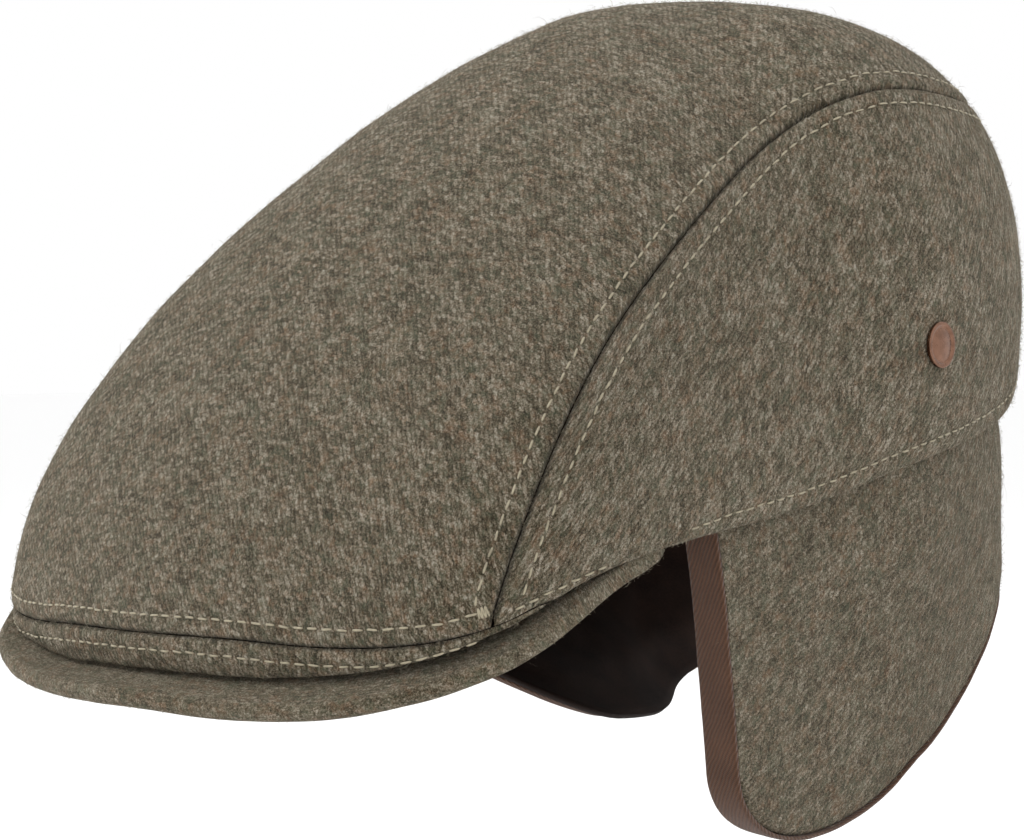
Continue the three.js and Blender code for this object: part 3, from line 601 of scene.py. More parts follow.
def makePeak():
    curve = {k: smoothCurve(peakRows["angle"], peakRows[k], 0, None) for k in peakRows if k != "angle"}
    end = peak["endAngle"]
    angle = evenAngles(lambda a: crownPoint(a, 1), -end, end, peak["columnStep"])
    at = np.abs(angle)
    edge, edgeHeight = crown["reach"](at), crown["height"](at)
    outer = edge + curve["out"](at)
    drop = np.where(angle > 0, curve["dropLeft"](at), curve["dropRight"](at))
    taper = smoothStep(at, peak["taperAngle"], end)
    inner = mix(headReach(angle), outer - peak["endWidth"], taper)

    def around(radius, height):
        turn = np.radians(angle)[:, None]
        return np.stack([radius * np.sin(turn), cap["crownCentreY"] - radius * np.cos(turn), height], -1)

    under = mix(peak["underEdge"], peak["underEnd"], smoothStep(at, *peak["underAngles"]))
    rimPlane = (cap["crownCentreY"] - inner * np.cos(np.radians(angle))) * math.tan(cap["rimPitch"])
    innerHeight = mix(rimPlane, edgeHeight - under, taper)
    slope = (edgeHeight - under - innerHeight) / (edge - inner)
    thick = np.minimum(peak["thickness"], drop - under)  # it thins out at its two ends
    rimTop = edgeHeight - drop + thick
    bend = rimTop - (innerHeight + slope * (outer - inner))

    def top(radius):
        fromInner = radius - inner[:, None]
        share = fromInner / (outer - inner)[:, None]
        return innerHeight[:, None] + slope[:, None] * fromInner + bend[:, None] * share ** peak["tipBend"]

    # the ends close in an arc
    run = runAlong(crownPoint(angle, 1))
    toEnd = np.minimum(run, run[-1] - run)
    closing = np.sqrt(1 - np.clip(1 - toEnd / peak["endRound"], 0, 1) ** 2)[:, None]
    rim = thick[:, None] / 2
    sideways = smoothStep(at, peak["flatFrom"], peak["taperAngle"])[:, None]
    rimDepth = mix(rim, np.minimum(rim, peak["sideRound"]), sideways)
    rimRadius = outer[:, None] - rimDepth
    share = np.concatenate([np.linspace(0, 0.7, 9), np.linspace(0.74, 1, 16)])  # closer rows near the rim
    radii = mix(inner[:, None], rimRadius, share[None])
    upper = around(radii, top(radii))
    lower = around(radii, top(radii) - thick[:, None])
    rimHeight = top(rimRadius) - rim
    turns = np.radians(np.arange(78, -79, -12))[None]
    rounded = around(rimRadius + rimDepth * np.cos(turns), rimHeight + rim * np.sin(turns))
    places = np.concatenate([upper, rounded, lower[:, ::-1], upper[:, :1]], axis=1)
    middle = places[:, :-1].mean(1, keepdims=True)
    places = mix(middle, places, np.broadcast_to(closing[..., None], places.shape))
    # a soft cover lies a little slack over the board
    outward = unit(places - middle)
    places = places + outward * slackOf(places, peak["slack"])[..., None] * closing[..., None]
    places[:, -1] = places[:, 0]
    across = runAlong(places)
    uv = np.stack([run[:, None] + 0 * across, across], -1)
    return fineGrid("peakCover", places, uv, None, farAway)


# The flap: wool outside, a padded lining, and a tape round its edge
flap = dict(
    startAngle=54.7, frontLeft=58.2, frontRight=52, tipLeft=44, tipRight=30, bend=30, insideRim=9,
    insetSide=3.2, insetBack=5.5, wool=1.8, pad=8.8, liningTop=2, fullDown=14, edgeStart=8,
    # the lining's roll over the tape on the right side is a dark sheet standing in for shade: painted shade
    tapeThickness=1.2, tapeInset=0.1, tapeWide=7.1, liningOver=1.7, shadeRollOut=3.6,
    columnStep=1.9, tapeStep=1.5, woolRows=(66, 12), liningRows=(54, 16),  # rows outside and inside
    woolSlack=((0.9, 38, 11), (0.32, 15, 12)),
    creases=((0.9, 19, 21), (0.5, 8, 22)),
    tapeWobble=((0.10, 7, 31), (0.05, 2.6, 32)),
)
depthRows = table(
    "along downLeft downRight",
    (44, 84.6, 98), (69, 80.7, 94.2), (95, 75.3, 89), (125, 65.2, 72.1), (160, 52.5, 51.9), (213, 45.5, 45.5),
)
hangRows = table(
    "along leanLeft leanRight swingLeft swingRight",
    (0, 4.2, 49.1, -2.9, 30), (60, 15.8, 28.1, 5.5, 26.8), (110, 12.1, 14.8, -4.4, 27.1),
    (155, 8.5, 7.2, 0, 17.3), (213, 8, 8, 0, 0),
)
rimAngles = np.append(np.arange(flap["startAngle"], 180.01, 0.25)[:-1], 180.0)
rimRun = runAlong(crownPoint(rimAngles, 1))
flapHalf = rimRun[-1]  # from the front edge along the rim to the back
hangSteps = 16
depthCurve = {k: smoothCurve(depthRows["along"], depthRows[k], 0, 0) for k in ("downLeft", "downRight")}
hangCurve = {k: smoothCurve(hangRows["along"], hangRows[k], None, 0) for k in hangRows if k != "along"}


def flapDown(side, along):
    hand = "Left" if side > 0 else "Right"
    curve, tipAlong, front = depthCurve["down" + hand], flap["tip" + hand], flap["front" + hand]
    left = 1 - np.clip(along / tipAlong, 0, 1)
    rounded = front + (curve(tipAlong) - front) * np.sqrt(1 - left * left)
    return np.where(along >= tipAlong, curve(along), rounded)


def flapPoint(side, along, down, depth):
    # a place on the flap: along the rim, down from it and inwards from its outer face
    along, down, depth = np.broadcast_arrays(*[np.asarray(a, float) for a in (along, down, depth)])
    angle = np.interp(along, rimRun, rimAngles)
    tangent = crownPoint(np.minimum(angle + 0.3, 180), 1) - crownPoint(angle - 0.3, 1)
    tangent[..., 2] = 0
    tangent = unit(tangent)
    inwards = np.stack([-tangent[..., 1], tangent[..., 0], 0 * along], -1)
    inset = mix(flap["insetSide"], flap["insetBack"], along / flapHalf)
    hand = "Left" if side > 0 else "Right"
    lean = np.radians(hangCurve["lean" + hand](along))
    pitch = cap["rimPitch"] + np.where(down > 0, np.radians(hangCurve["swing" + hand](along)), 0)
    downwards = np.stack([0 * pitch, np.sin(pitch), -np.cos(pitch)], -1)
    below = np.maximum(down, 0)
    fallen, leaned = np.minimum(down, 0), 0 * down
    for i in range(hangSteps):
        turn = lean * smoothStep(below * (i + 0.5) / hangSteps, 0, flap["bend"])
        fallen, leaned = fallen + np.cos(turn) * below / hangSteps, leaned + np.sin(turn) * below / hangSteps
    turn = lean * smoothStep(below, 0, flap["bend"])
    point = crownPoint(angle, 1) + inwards * (inset + leaned + depth * np.cos(turn))[..., None]
    point = point + downwards * (fallen - depth * np.sin(turn))[..., None]
    return point * np.array([side, 1, 1])


def flapColumns(step):
    tip = flap["tipLeft"]
    front = tip * (1 - np.cos(np.linspace(0, math.pi / 2, int(46 / step))))
    rest = np.linspace(tip, flapHalf, int((flapHalf - tip) / step) + 1)[1:]
    return np.concatenate([front, rest])


def bothSides(make, columns):
    # left front end, round the back, to the right front end
    left, right = make(1, columns), make(-1, columns)
    return np.concatenate([left, right[-2::-1]], axis=0)


def shadeRollShare(side, along):
    # on the right side only, the dark lining rolls out past the tape at the lower edge: a dark sheet put
    # where the tape lies in shade, as painted shade
    return smoothStep(flapHalf - along, 75, 160) if side < 0 else 0 * along


def flapEdge(side, along, down):
    # how far it still is to the lower edge
    return flapDown(side, along) - down


def flapShell(front, back, rows):
    # an outer and an inner face over the whole flap, joined into a tube, with its cloth coordinates
    columns = flapColumns(flap["columnStep"])
    places, uv = [], []
    faces = ((front, np.linspace(0, 1, rows[0]), 0), (back, np.linspace(1, 0, rows[1]), 500))
    for face, shares, aside in faces:

        def downs(side, a):
            return mix(-flap["insideRim"], flapDown(side, a)[:, None], shares)

        def coords(side, a):
            down = downs(side, a)
            return np.stack([side * (a[:, None] - flapHalf) + 0 * down + aside, -down], -1)

        places.append(bothSides(lambda side, a: face(side, a[:, None], downs(side, a)), columns))
        uv.append(bothSides(coords, columns))
    return [np.concatenate([outer, inner, outer[:, :1]], axis=1) for outer, inner in (places, uv)]


def closeEnds(obj):
    # fills the open ends of a tube of cloth
    alone(obj)
    bpy.ops.object.mode_set(mode="EDIT")
    bpy.ops.mesh.select_mode(type="EDGE")
    bpy.ops.mesh.select_all(action="DESELECT")
    bpy.ops.mesh.select_non_manifold(extend=False, use_wire=False, use_boundary=True, use_multi_face=False,
                                     use_non_contiguous=False, use_verts=False)
    bpy.ops.mesh.edge_face_add()
    bpy.ops.mesh.select_all(action="SELECT")
    bpy.ops.mesh.normals_make_consistent(inside=False)
    bpy.ops.mesh.select_mode(type="VERT")
    bpy.ops.object.mode_set(mode="OBJECT")


def makeNeckFlap():
    def front(side, a, down):
        base = flapPoint(side, a, down, 0)
        face = unit(base - flapPoint(side, a, down, 1))
        edge = flapEdge(side, a, down)
        calm = smoothStep(edge, 0, 9) * smoothStep(a, 0, 8) * smoothStep(down, -2, 8)
        turnedIn = -0.9 * np.exp(-edge / 0.8)
        return base + face * (slackOf(base, flap["woolSlack"]) * calm + turnedIn)[..., None]

    def back(side, a, down):
        return flapPoint(side, a, down, flap["wool"])

    places, uv = flapShell(front, back, flap["woolRows"])
    inside = np.arange(places.shape[1]) >= flap["woolRows"][0]
    obj = fineGrid("neckFlap", places, uv, inside, farAway)
    closeEnds(obj)
    return obj


def makeFlapLining():
    start = flap["wool"] + cap["gap"]

    # the dark lining rolled out over the tape on the right side, as painted shade
    def rolled(side, a, down):
        roll = flap["shadeRollOut"] * shadeRollShare(side, a) * (1 - smoothStep(a, 48, 100))
        return roll * (1 - smoothStep(flapEdge(side, a, down), 0, 7))

    def thick(side, a, down):
        full = mix(flap["liningTop"], flap["pad"], smoothStep(down, -2, flap["fullDown"]))
        # towards the right side's rolled-out edge the lining thins further, part of the painted shade
        over = shadeRollShare(side, a)
        inFromEdge = smoothStep(flapEdge(side, a, down), -1, flap["edgeStart"] + 10 * over)
        inFromEnd = smoothStep(a, -1, flap["edgeStart"])
        return full * mix(0.62 - 0.26 * over, 1, inFromEdge) * mix(0.66, 1, inFromEnd)

    def front(side, a, down):
        pad = thick(side, a, down)
        edge = flapEdge(side, a, down)
        over = flap["liningOver"] * np.exp(-edge / 1.2) * smoothStep(pad, 2.5, 4.5)
        over = over * (1 - shadeRollShare(side, a))
        base = flapPoint(side, a, down + over + rolled(side, a, down), start + pad)
        face = unit(flapPoint(side, a, down, start + pad + 1) - base)
        calm = smoothStep(edge, 0, 7) * smoothStep(a, 0, 7) * smoothStep(down, 0, 8)
        return base + face * (slackOf(base, flap["creases"]) * calm)[..., None]

    def back(side, a, down):
        return flapPoint(side, a, down + rolled(side, a, down), start + 0.4 * shadeRollShare(side, a))

    places, uv = flapShell(front, back, flap["liningRows"])
    obj = fineGrid("flapLining", places, uv, None, farAway)
    closeEnds(obj)
    return obj


def makeFlapTape():
    outerRows, innerRows = 15, 5

    def section(side, columns):
        # down the front edge, then along the lower one
        step = flap["tapeStep"]
        down = np.arange(-1, float(flapDown(side, 0)), step)
        a, down = np.concatenate([0 * down, columns]), np.concatenate([down, flapDown(side, columns)])
        # the tape is narrower and thinner on the right side under the rolled-out lining, so only the dark
        # lining shows there: painted shade
        over = shadeRollShare(side, a)
        inner = flap["wool"] + cap["gap"] + flap["tapeWide"] * (1 - 0.97 * over)
        near, far = flapPoint(side, a, down, flap["tapeInset"]), flapPoint(side, a, down, inner)
        through = unit(far - near)
        out = (unit(np.cross(through, unit(np.gradient(near, axis=0)))) * side)[:, None]
        middle, half = ((near + far) / 2)[:, None], (far - near)[:, None] / 2
        turns = np.radians(np.linspace(180, 0, outerRows))[None, :, None]
        lift = cap["gap"] + flap["tapeThickness"] * (1 - 0.5 * over[:, None, None]) * np.sin(turns) ** 0.25
        squared = 1.03 * np.sign(np.cos(turns)) * np.abs(np.cos(turns)) ** 0.7
        outside = middle + half * squared + out * lift
        inside = middle + half * np.linspace(0.9, -0.9, innerRows)[None, :, None] + out * cap["gap"]
        return np.concatenate([outside, inside, outside[:, :1]], axis=1)

    places = bothSides(section, flapColumns(flap["tapeStep"]))
    middle = places[:, :-1].mean(1, keepdims=True)
    places = places + unit(places - middle) * slackOf(places, flap["tapeWobble"])[..., None]
    places[:, -1] = places[:, 0]
    across = runAlong(places)
    uv = np.stack([runAlong(places[:, outerRows // 2])[:, None] + 0 * across, across], -1)
    obj = fineGrid("flapTape", places, uv)
    closeEnds(obj)
    return obj


# A plain round pin of copper on the left side
pin = dict(
    radius=5.5, height=1.0, angle=94, share=0.89, standOff=0.15,
    rim=0.9, step=0.35, sunk=0.4, dome=0.55, domeRings=8, edgeRound=0.22,
)


def makePin():
    point, normal = crownPoint(pin["angle"], pin["share"]), crownNormal(pin["angle"], pin["share"])
    bpy.ops.object.select_all(action="DESELECT")
    size = dict(radius=pin["radius"] * 0.001, depth=pin["height"] * 0.001)
    bpy.ops.mesh.primitive_cylinder_add(vertices=72, **size)
    obj = bpy.context.object
    obj.name = "copperPin"
    bpy.ops.object.mode_set(mode="EDIT")
    bpy.ops.mesh.select_mode(type="FACE")
    bpy.ops.mesh.select_all(action="DESELECT")
    bpy.ops.object.mode_set(mode="OBJECT")
    for face in obj.data.polygons:
        face.select = face.normal.z > 0.9
    bpy.ops.object.mode_set(mode="EDIT")
    bpy.ops.mesh.inset(thickness=pin["rim"] * 0.001, depth=0)
    bpy.ops.mesh.inset(thickness=pin["step"] * 0.001, depth=-pin["sunk"] * 0.001)
    rings = pin["domeRings"]
    ringWidth = (pin["radius"] - pin["rim"] - pin["step"]) / rings
    heights = [pin["dome"] * math.sin(math.pi / 2 * ring / rings) for ring in range(rings)]
    for low, high in zip(heights, heights[1:]):
        bpy.ops.mesh.inset(thickness=ringWidth * 0.001, depth=(high - low) * 0.001)
    bpy.ops.mesh.select_all(action="SELECT")
    bpy.ops.mesh.normals_make_consistent(inside=False)
    bpy.ops.object.mode_set(mode="OBJECT")
    bevel = obj.modifiers.new("softEdge", "BEVEL")
    bevel.width = pin["edgeRound"] * 0.001
    bevel.segments = 3
    bevel.limit_method = "ANGLE"
    bevel.angle_limit = math.radians(40)
    bpy.ops.object.modifier_apply(modifier="softEdge")
    bpy.ops.object.shade_smooth_by_angle(angle=math.radians(35))
    rise = float(clothRise(point[None], "left")[0][0])
    obj.rotation_mode = "QUATERNION"
    obj.rotation_quaternion = Vector(normal).to_track_quat("Z", "Y")
    obj.location = Vector((point + normal * (rise + pin["height"] / 2 + pin["standOff"])) * 0.001)
    bpy.ops.object.transform_apply(location=True, rotation=True, scale=True)
    return obj


# Stitches: one dash of thread, set out along each row
thread = dict(pitch=3.72, length=2.55, width=0.56, tall=0.34, slip=0.12, over=0.30)
tack = dict(count=6, step=0.4, length=2.6, width=0.9, lean=0.12, over=0.32)
rolledUnder = (41.4, 50.0)  # between these angles the hem's row is out of sight


def threadDash():
    # a dash with 8 sides and rounded ends, bowed so that its ends go into the cloth
    bpy.ops.object.select_all(action="DESELECT")
    bpy.ops.mesh.primitive_uv_sphere_add(segments=8, ring_count=7, radius=0.5)
    obj = bpy.context.object
    corner = np.array([v.co for v in obj.data.vertices])
    faces = [tuple(p.vertices) for p in obj.data.polygons]
    bpy.data.objects.remove(obj)
    corner = corner[:, [2, 0, 1]]  # long way first
    shape = np.sign(corner[:, 0]) * (np.abs(corner[:, 0]) * 2) ** 0.7 / 2
    fat = unit(corner[:, 1:]) * 0.5 * (1 - (np.abs(shape) * 2) ** 4)[:, None] ** 0.5
    fat[np.abs(shape) > 0.499] = 0
    bow = -0.55 * (np.abs(shape) * 2) ** 2.2
    tall = (fat[:, 1] + bow * 0.9) * thread["tall"] * 1.15
    return np.stack([shape * thread["length"], fat[:, 0] * thread["width"], tall], -1), faces


def sewRow(line):
    # the middle and the direction of each stitch along one line
    run = runAlong(line)
    count = int(run[-1] / thread["pitch"])
    spots = thread["pitch"] * (np.arange(count) + 0.5) + random.normal(0, 0.07, count)
    places = []
    for offset in (0, 0.8, -0.8):
        places.append(np.stack([np.interp(spots + offset, run, line[:, k]) for k in range(3)], -1))
    centre, ahead, behind = places
    return centre, unit(ahead - behind)


def nearestNormal(points):
    # the crown's outward normal at places on it
    x, y = points.T[:2]
    angle = np.degrees(np.arctan2(x, cap["crownCentreY"] - y))
    out = np.empty_like(points)
    shares = np.linspace(0.3, 1, 141)
    for i, a in enumerate(angle):
        section = crownPoint(a, shares)
        k = np.linalg.norm(section - points[i], axis=1).argmin()
        out[i] = crownNormal(a, min(shares[k], 0.998))
    return out


def looseMesh(name, corners, faces):
    # a mesh of many small pieces, from corners in millimetres
    mesh = bpy.data.meshes.new(name)
    mesh.from_pydata((corners * 0.001).tolist(), [], faces)
    obj = bpy.data.objects.new(name, mesh)
    bpy.context.collection.objects.link(obj)
    return obj


def makeStitches():
    dash, faces = threadDash()
    rows = [
        ("stripUpper", "top"), ("stripLower", "strip"),
        ("topBeside", "top"), ("topBesideRight", "top"),
        ("sideBeside", "left"), ("sideBesideRight", "right"),
        ("hem", "left"), ("hemRight", "right"),
        ("back", "left"), ("backRight", "right"),
    ]
    dashes = []
    for name, panel in rows:
        centre, ahead = sewRow(rowLines[name])
        if name.startswith("hem"):
            # beside the peak's ends the row is rolled under the edge
            turned = np.degrees(np.arctan2(np.abs(centre[:, 0]), cap["crownCentreY"] - centre[:, 1]))
            seen = (turned < rolledUnder[0]) | (turned > rolledUnder[1])
            centre, ahead = centre[seen], ahead[seen]
        normal = nearestNormal(centre)
        rise = clothRise(centre, panel)[0]
        side = unit(np.cross(normal, ahead))
        tilt = random.normal(0, 0.055, len(centre))[:, None]
        ahead = unit(ahead + side * tilt)
        side = unit(np.cross(normal, ahead))
        scale = 1 + random.normal(0, 0.05, (len(centre), 1, 1))
        shift = random.normal(0, thread["slip"] * 0.5, (len(centre), 1, 1))
        lift = (rise + thread["over"])[:, None, None]
        long, wide, tall = dash[None, :, 0:1], dash[None, :, 1:2], dash[None, :, 2:3]
        dashes.extend(centre[:, None] + ahead[:, None] * long * scale + side[:, None] * (wide + shift)
                      + normal[:, None] * (tall + lift))
    # a bar-tack where the row over the strip ends, at both corners
    for end, before in ((0, 1), (-1, -2)):
        spot = rowLines["stripUpper"][end]
        ahead = unit(rowLines["stripUpper"][end] - rowLines["stripUpper"][before])
        normal = nearestNormal(spot[None])[0]
        side = unit(np.cross(normal, ahead))
        rise = float(clothRise(spot[None], "top")[0][0])
        for i in range(tack["count"]):
            lean = unit(side + ahead * tack["lean"] * (-1) ** i)
            across = unit(np.cross(normal, lean))
            forward = (i - (tack["count"] - 1) / 2) * tack["step"]
            middle = spot + ahead * forward + normal * (rise + tack["over"])
            size = tack["length"] / thread["length"] * (1 + random.normal(0, 0.05))
            dashes.append(middle + lean * dash[:, 0:1] * size + across * dash[:, 1:2] * tack["width"]
                          + normal * dash[:, 2:3])
    allFaces = [tuple(i + k * len(dash) for i in face) for k in range(len(dashes)) for face in faces]
    obj = looseMesh("stitches", np.concatenate(dashes), allFaces)
    alone(obj)
    bpy.ops.object.mode_set(mode="EDIT")
    bpy.ops.mesh.select_all(action="SELECT")
    bpy.ops.mesh.normals_make_consistent(inside=False)
    bpy.ops.object.mode_set(mode="OBJECT")
    bpy.ops.object.shade_smooth()
    print("stitches sewn", len(dashes))
    return obj


# Loose fibres that stand off the wool
fuzz = dict(
    length=(0.8, 2.6), strayLength=(3.2, 6.5), width=0.07,
    scatter=0.5, stand=(0.12, 0.75), curl=0.25, sunk=0.15,
)


def makeFuzz(name, source, count, lengths):
    # thin hairs of 5 faces, spread over a piece's outer faces
    mesh = source.data
    n = len(mesh.polygons)
    area, centre, normal = np.empty(n), np.empty(3 * n), np.empty(3 * n)
    kind = np.empty(n, np.int32)
    mesh.polygons.foreach_get("area", area)
    mesh.polygons.foreach_get("center", centre)
    mesh.polygons.foreach_get("normal", normal)
    mesh.polygons.foreach_get("material_index", kind)
    centre, normal = centre.reshape(-1, 3) * 1000, normal.reshape(-1, 3)
    weight = np.where(kind == 0, area, 0)
    chosen = random.choice(n, count, p=weight / weight.sum())
    root, up = centre[chosen] + random.normal(0, fuzz["scatter"], (count, 3)), normal[chosen]
    root = root - up * ((root - centre[chosen]) * up).sum(-1, keepdims=True)
    sweep = unit(np.cross(up, random.normal(size=(count, 3))))
    length = random.uniform(*lengths, (count, 1)) * random.uniform(0.5, 1, (count, 1))
    stand = random.uniform(*fuzz["stand"], (count, 1))
    first = root + (sweep * (1 - stand) + up * stand) * length * 0.4
    curl = unit(np.cross(up, sweep)) * random.normal(0, fuzz["curl"], (count, 1)) * length
    second = root + (sweep * (1 - stand) + up * stand * 0.85) * length * 0.8 + curl * 0.6
    last = second + (sweep * (1 - stand * 0.5) + up * stand * 0.2) * length * 0.35 + curl
    width = unit(np.cross(sweep, random.normal(size=(count, 3)))) * fuzz["width"] / 2
    root = root - up * fuzz["sunk"]
    corners = np.stack([root - width, root + width, first - width, first + width,
                        second - width * 0.7, second + width * 0.7, last], 1)
    faces = np.array([[0, 1, 3], [0, 3, 2], [2, 3, 5], [2, 5, 4], [4, 5, 6]])
    every = (faces[None] + corners.shape[1] * np.arange(count)[:, None, None]).reshape(-1, 3)
    return looseMesh(name, corners.reshape(-1, 3), every.tolist())


# Materials

def newMaterial(name, values):
    # a material with the constant values of its shader, its node tree and its shader
    material = bpy.data.materials.new(name)
    material.use_nodes = True
    shader = material.node_tree.nodes["Principled BSDF"]
    for key, value in values.items():
        shader.inputs[key].default_value = value
    return material, material.node_tree, shader


def put(tree, kind, links=None, **settings):
    node = tree.nodes.new(kind)
    for key, value in settings.items():
        setattr(node, key, value)
    for key, value in (links or {}).items():
        feed(tree, node.inputs[key], value)
    return node


def feed(tree, socket, value):
    if isinstance(value, bpy.types.NodeSocket):
        tree.links.new(value, socket)
    else:
        socket.default_value = value


def calc(tree, operation, a, b=0.0, clamp=False):
    return put(tree, "ShaderNodeMath", {0: a, 1: b}, operation=operation, use_clamp=clamp).outputs[0]


def times(tree, a, b, clamp=False):
    return calc(tree, "MULTIPLY", a, b, clamp)


def addUp(tree, *parts, clamp=False):
    # adds its parts one after another, and clamps the last sum
    total = parts[0]
    for i, part in enumerate(parts[1:], 2):
        total = calc(tree, "ADD", total, part, clamp and i == len(parts))
    return total


def spread(tree, value, gain, middle=0.5):
    return times(tree, calc(tree, "SUBTRACT", value, middle), gain)


def fraction(tree, value, whole):
    # from -0.5 to 0.5 within each whole step
    return calc(tree, "SUBTRACT", calc(tree, "SUBTRACT", value, whole), 0.5)


def wave(tree, value, pitch):
    return calc(tree, "SINE", times(tree, value, 2 * math.pi / pitch))


def hump(tree, value):
    return calc(tree, "COSINE", times(tree, value, 2 * math.pi))


def vector(tree, operation, a, b):
    slot = 3 if operation == "SCALE" else 1
    return put(tree, "ShaderNodeVectorMath", {0: a, slot: b}, operation=operation).outputs[0]


def turnedBy(tree, place, degrees):
    # the place's two parts after a turn in the cloth's own plane
    turned = put(tree, "ShaderNodeVectorRotate", {"Vector": place, "Angle": math.radians(degrees)},
                 rotation_type="Z_AXIS").outputs[0]
    return put(tree, "ShaderNodeSeparateXYZ", {0: turned}).outputs


def clothPlace(tree):
    # the piece's own map, in millimetres
    return vector(tree, "SCALE", put(tree, "ShaderNodeUVMap", uv_map="cloth").outputs[0], 1000.0)


def grain(tree, place, scale, detail=2.0, roughness=0.5, output=0):
    # noise in the cloth's own plane
    return put(tree, "ShaderNodeTexNoise",
               {"Vector": place, "Scale": scale, "Detail": detail, "Roughness": roughness},
               noise_dimensions="2D").outputs[output]


def solidGrain(tree, scale, detail):
    place = put(tree, "ShaderNodeTexCoord").outputs["Object"]
    return put(tree, "ShaderNodeTexNoise", {"Vector": place, "Scale": scale, "Detail": detail}).outputs[0]


def blendColour(tree, kind, amount, a, b):
    node = put(tree, "ShaderNodeMix", data_type="RGBA", blend_type=kind)
    for socket, value in ((0, amount), (6, a), (7, b)):
        feed(tree, node.inputs[socket], value)
    return node.outputs[2]


def bumpUp(tree, shader, height, strength, deep):
    bump = put(tree, "ShaderNodeBump", {"Height": height, "Strength": strength, "Distance": deep}).outputs[0]
    tree.links.new(bump, shader.inputs["Normal"])


def linear(*srgb):
    # a colour of 0 to 255 as the shader wants it
    shares = [c / 255 for c in srgb]
    return tuple(c / 12.92 if c < 0.04045 else ((c + 0.055) / 1.055) ** 2.4 for c in shares) + (1,)


def shadeRamp(tree, value, shades):
    node = put(tree, "ShaderNodeValToRGB", {0: value})
    ramp = node.color_ramp
    while len(ramp.elements) < len(shades):
        ramp.elements.new(0.5)
    for element, (spot, colour) in zip(ramp.elements, shades):
        element.position = spot
        element.color = linear(*colour)
    return node.outputs[0]


wool = dict(
    ribPitch=1.36,  # across the twill ribs
    dashLength=1.5,  # how long a float of yarn shows along a rib
    slant=0.75,
    shades=((0.0, (37, 30, 20)), (0.25, (71, 62, 45)), (0.5, (113, 102, 83)), (0.72, (150, 139, 120)),
            (1.0, (198, 190, 174))),
    brown=(136, 101, 74),
    green=(88, 104, 82),
    deep=0.0005,
    # how dark the painted shade in the seam grooves gets
    seamShadeLevel=0.4,
    finish={"Roughness": 0.95, "Specular IOR Level": 0.12, "Sheen Weight": 0.2, "Sheen Roughness": 0.3,
            "Sheen Tint": linear(222, 220, 208)},
)


def tintShare(tree, noises, channel, middles, gain):
    # how much of one tint shows, from noise of three sizes
    parts = [spread(tree, one.outputs[channel], strong, middle)
             for one, strong, middle in zip(noises, (2.6, 0.5, 1.8), middles)]
    return times(tree, addUp(tree, *parts), gain, clamp=True)


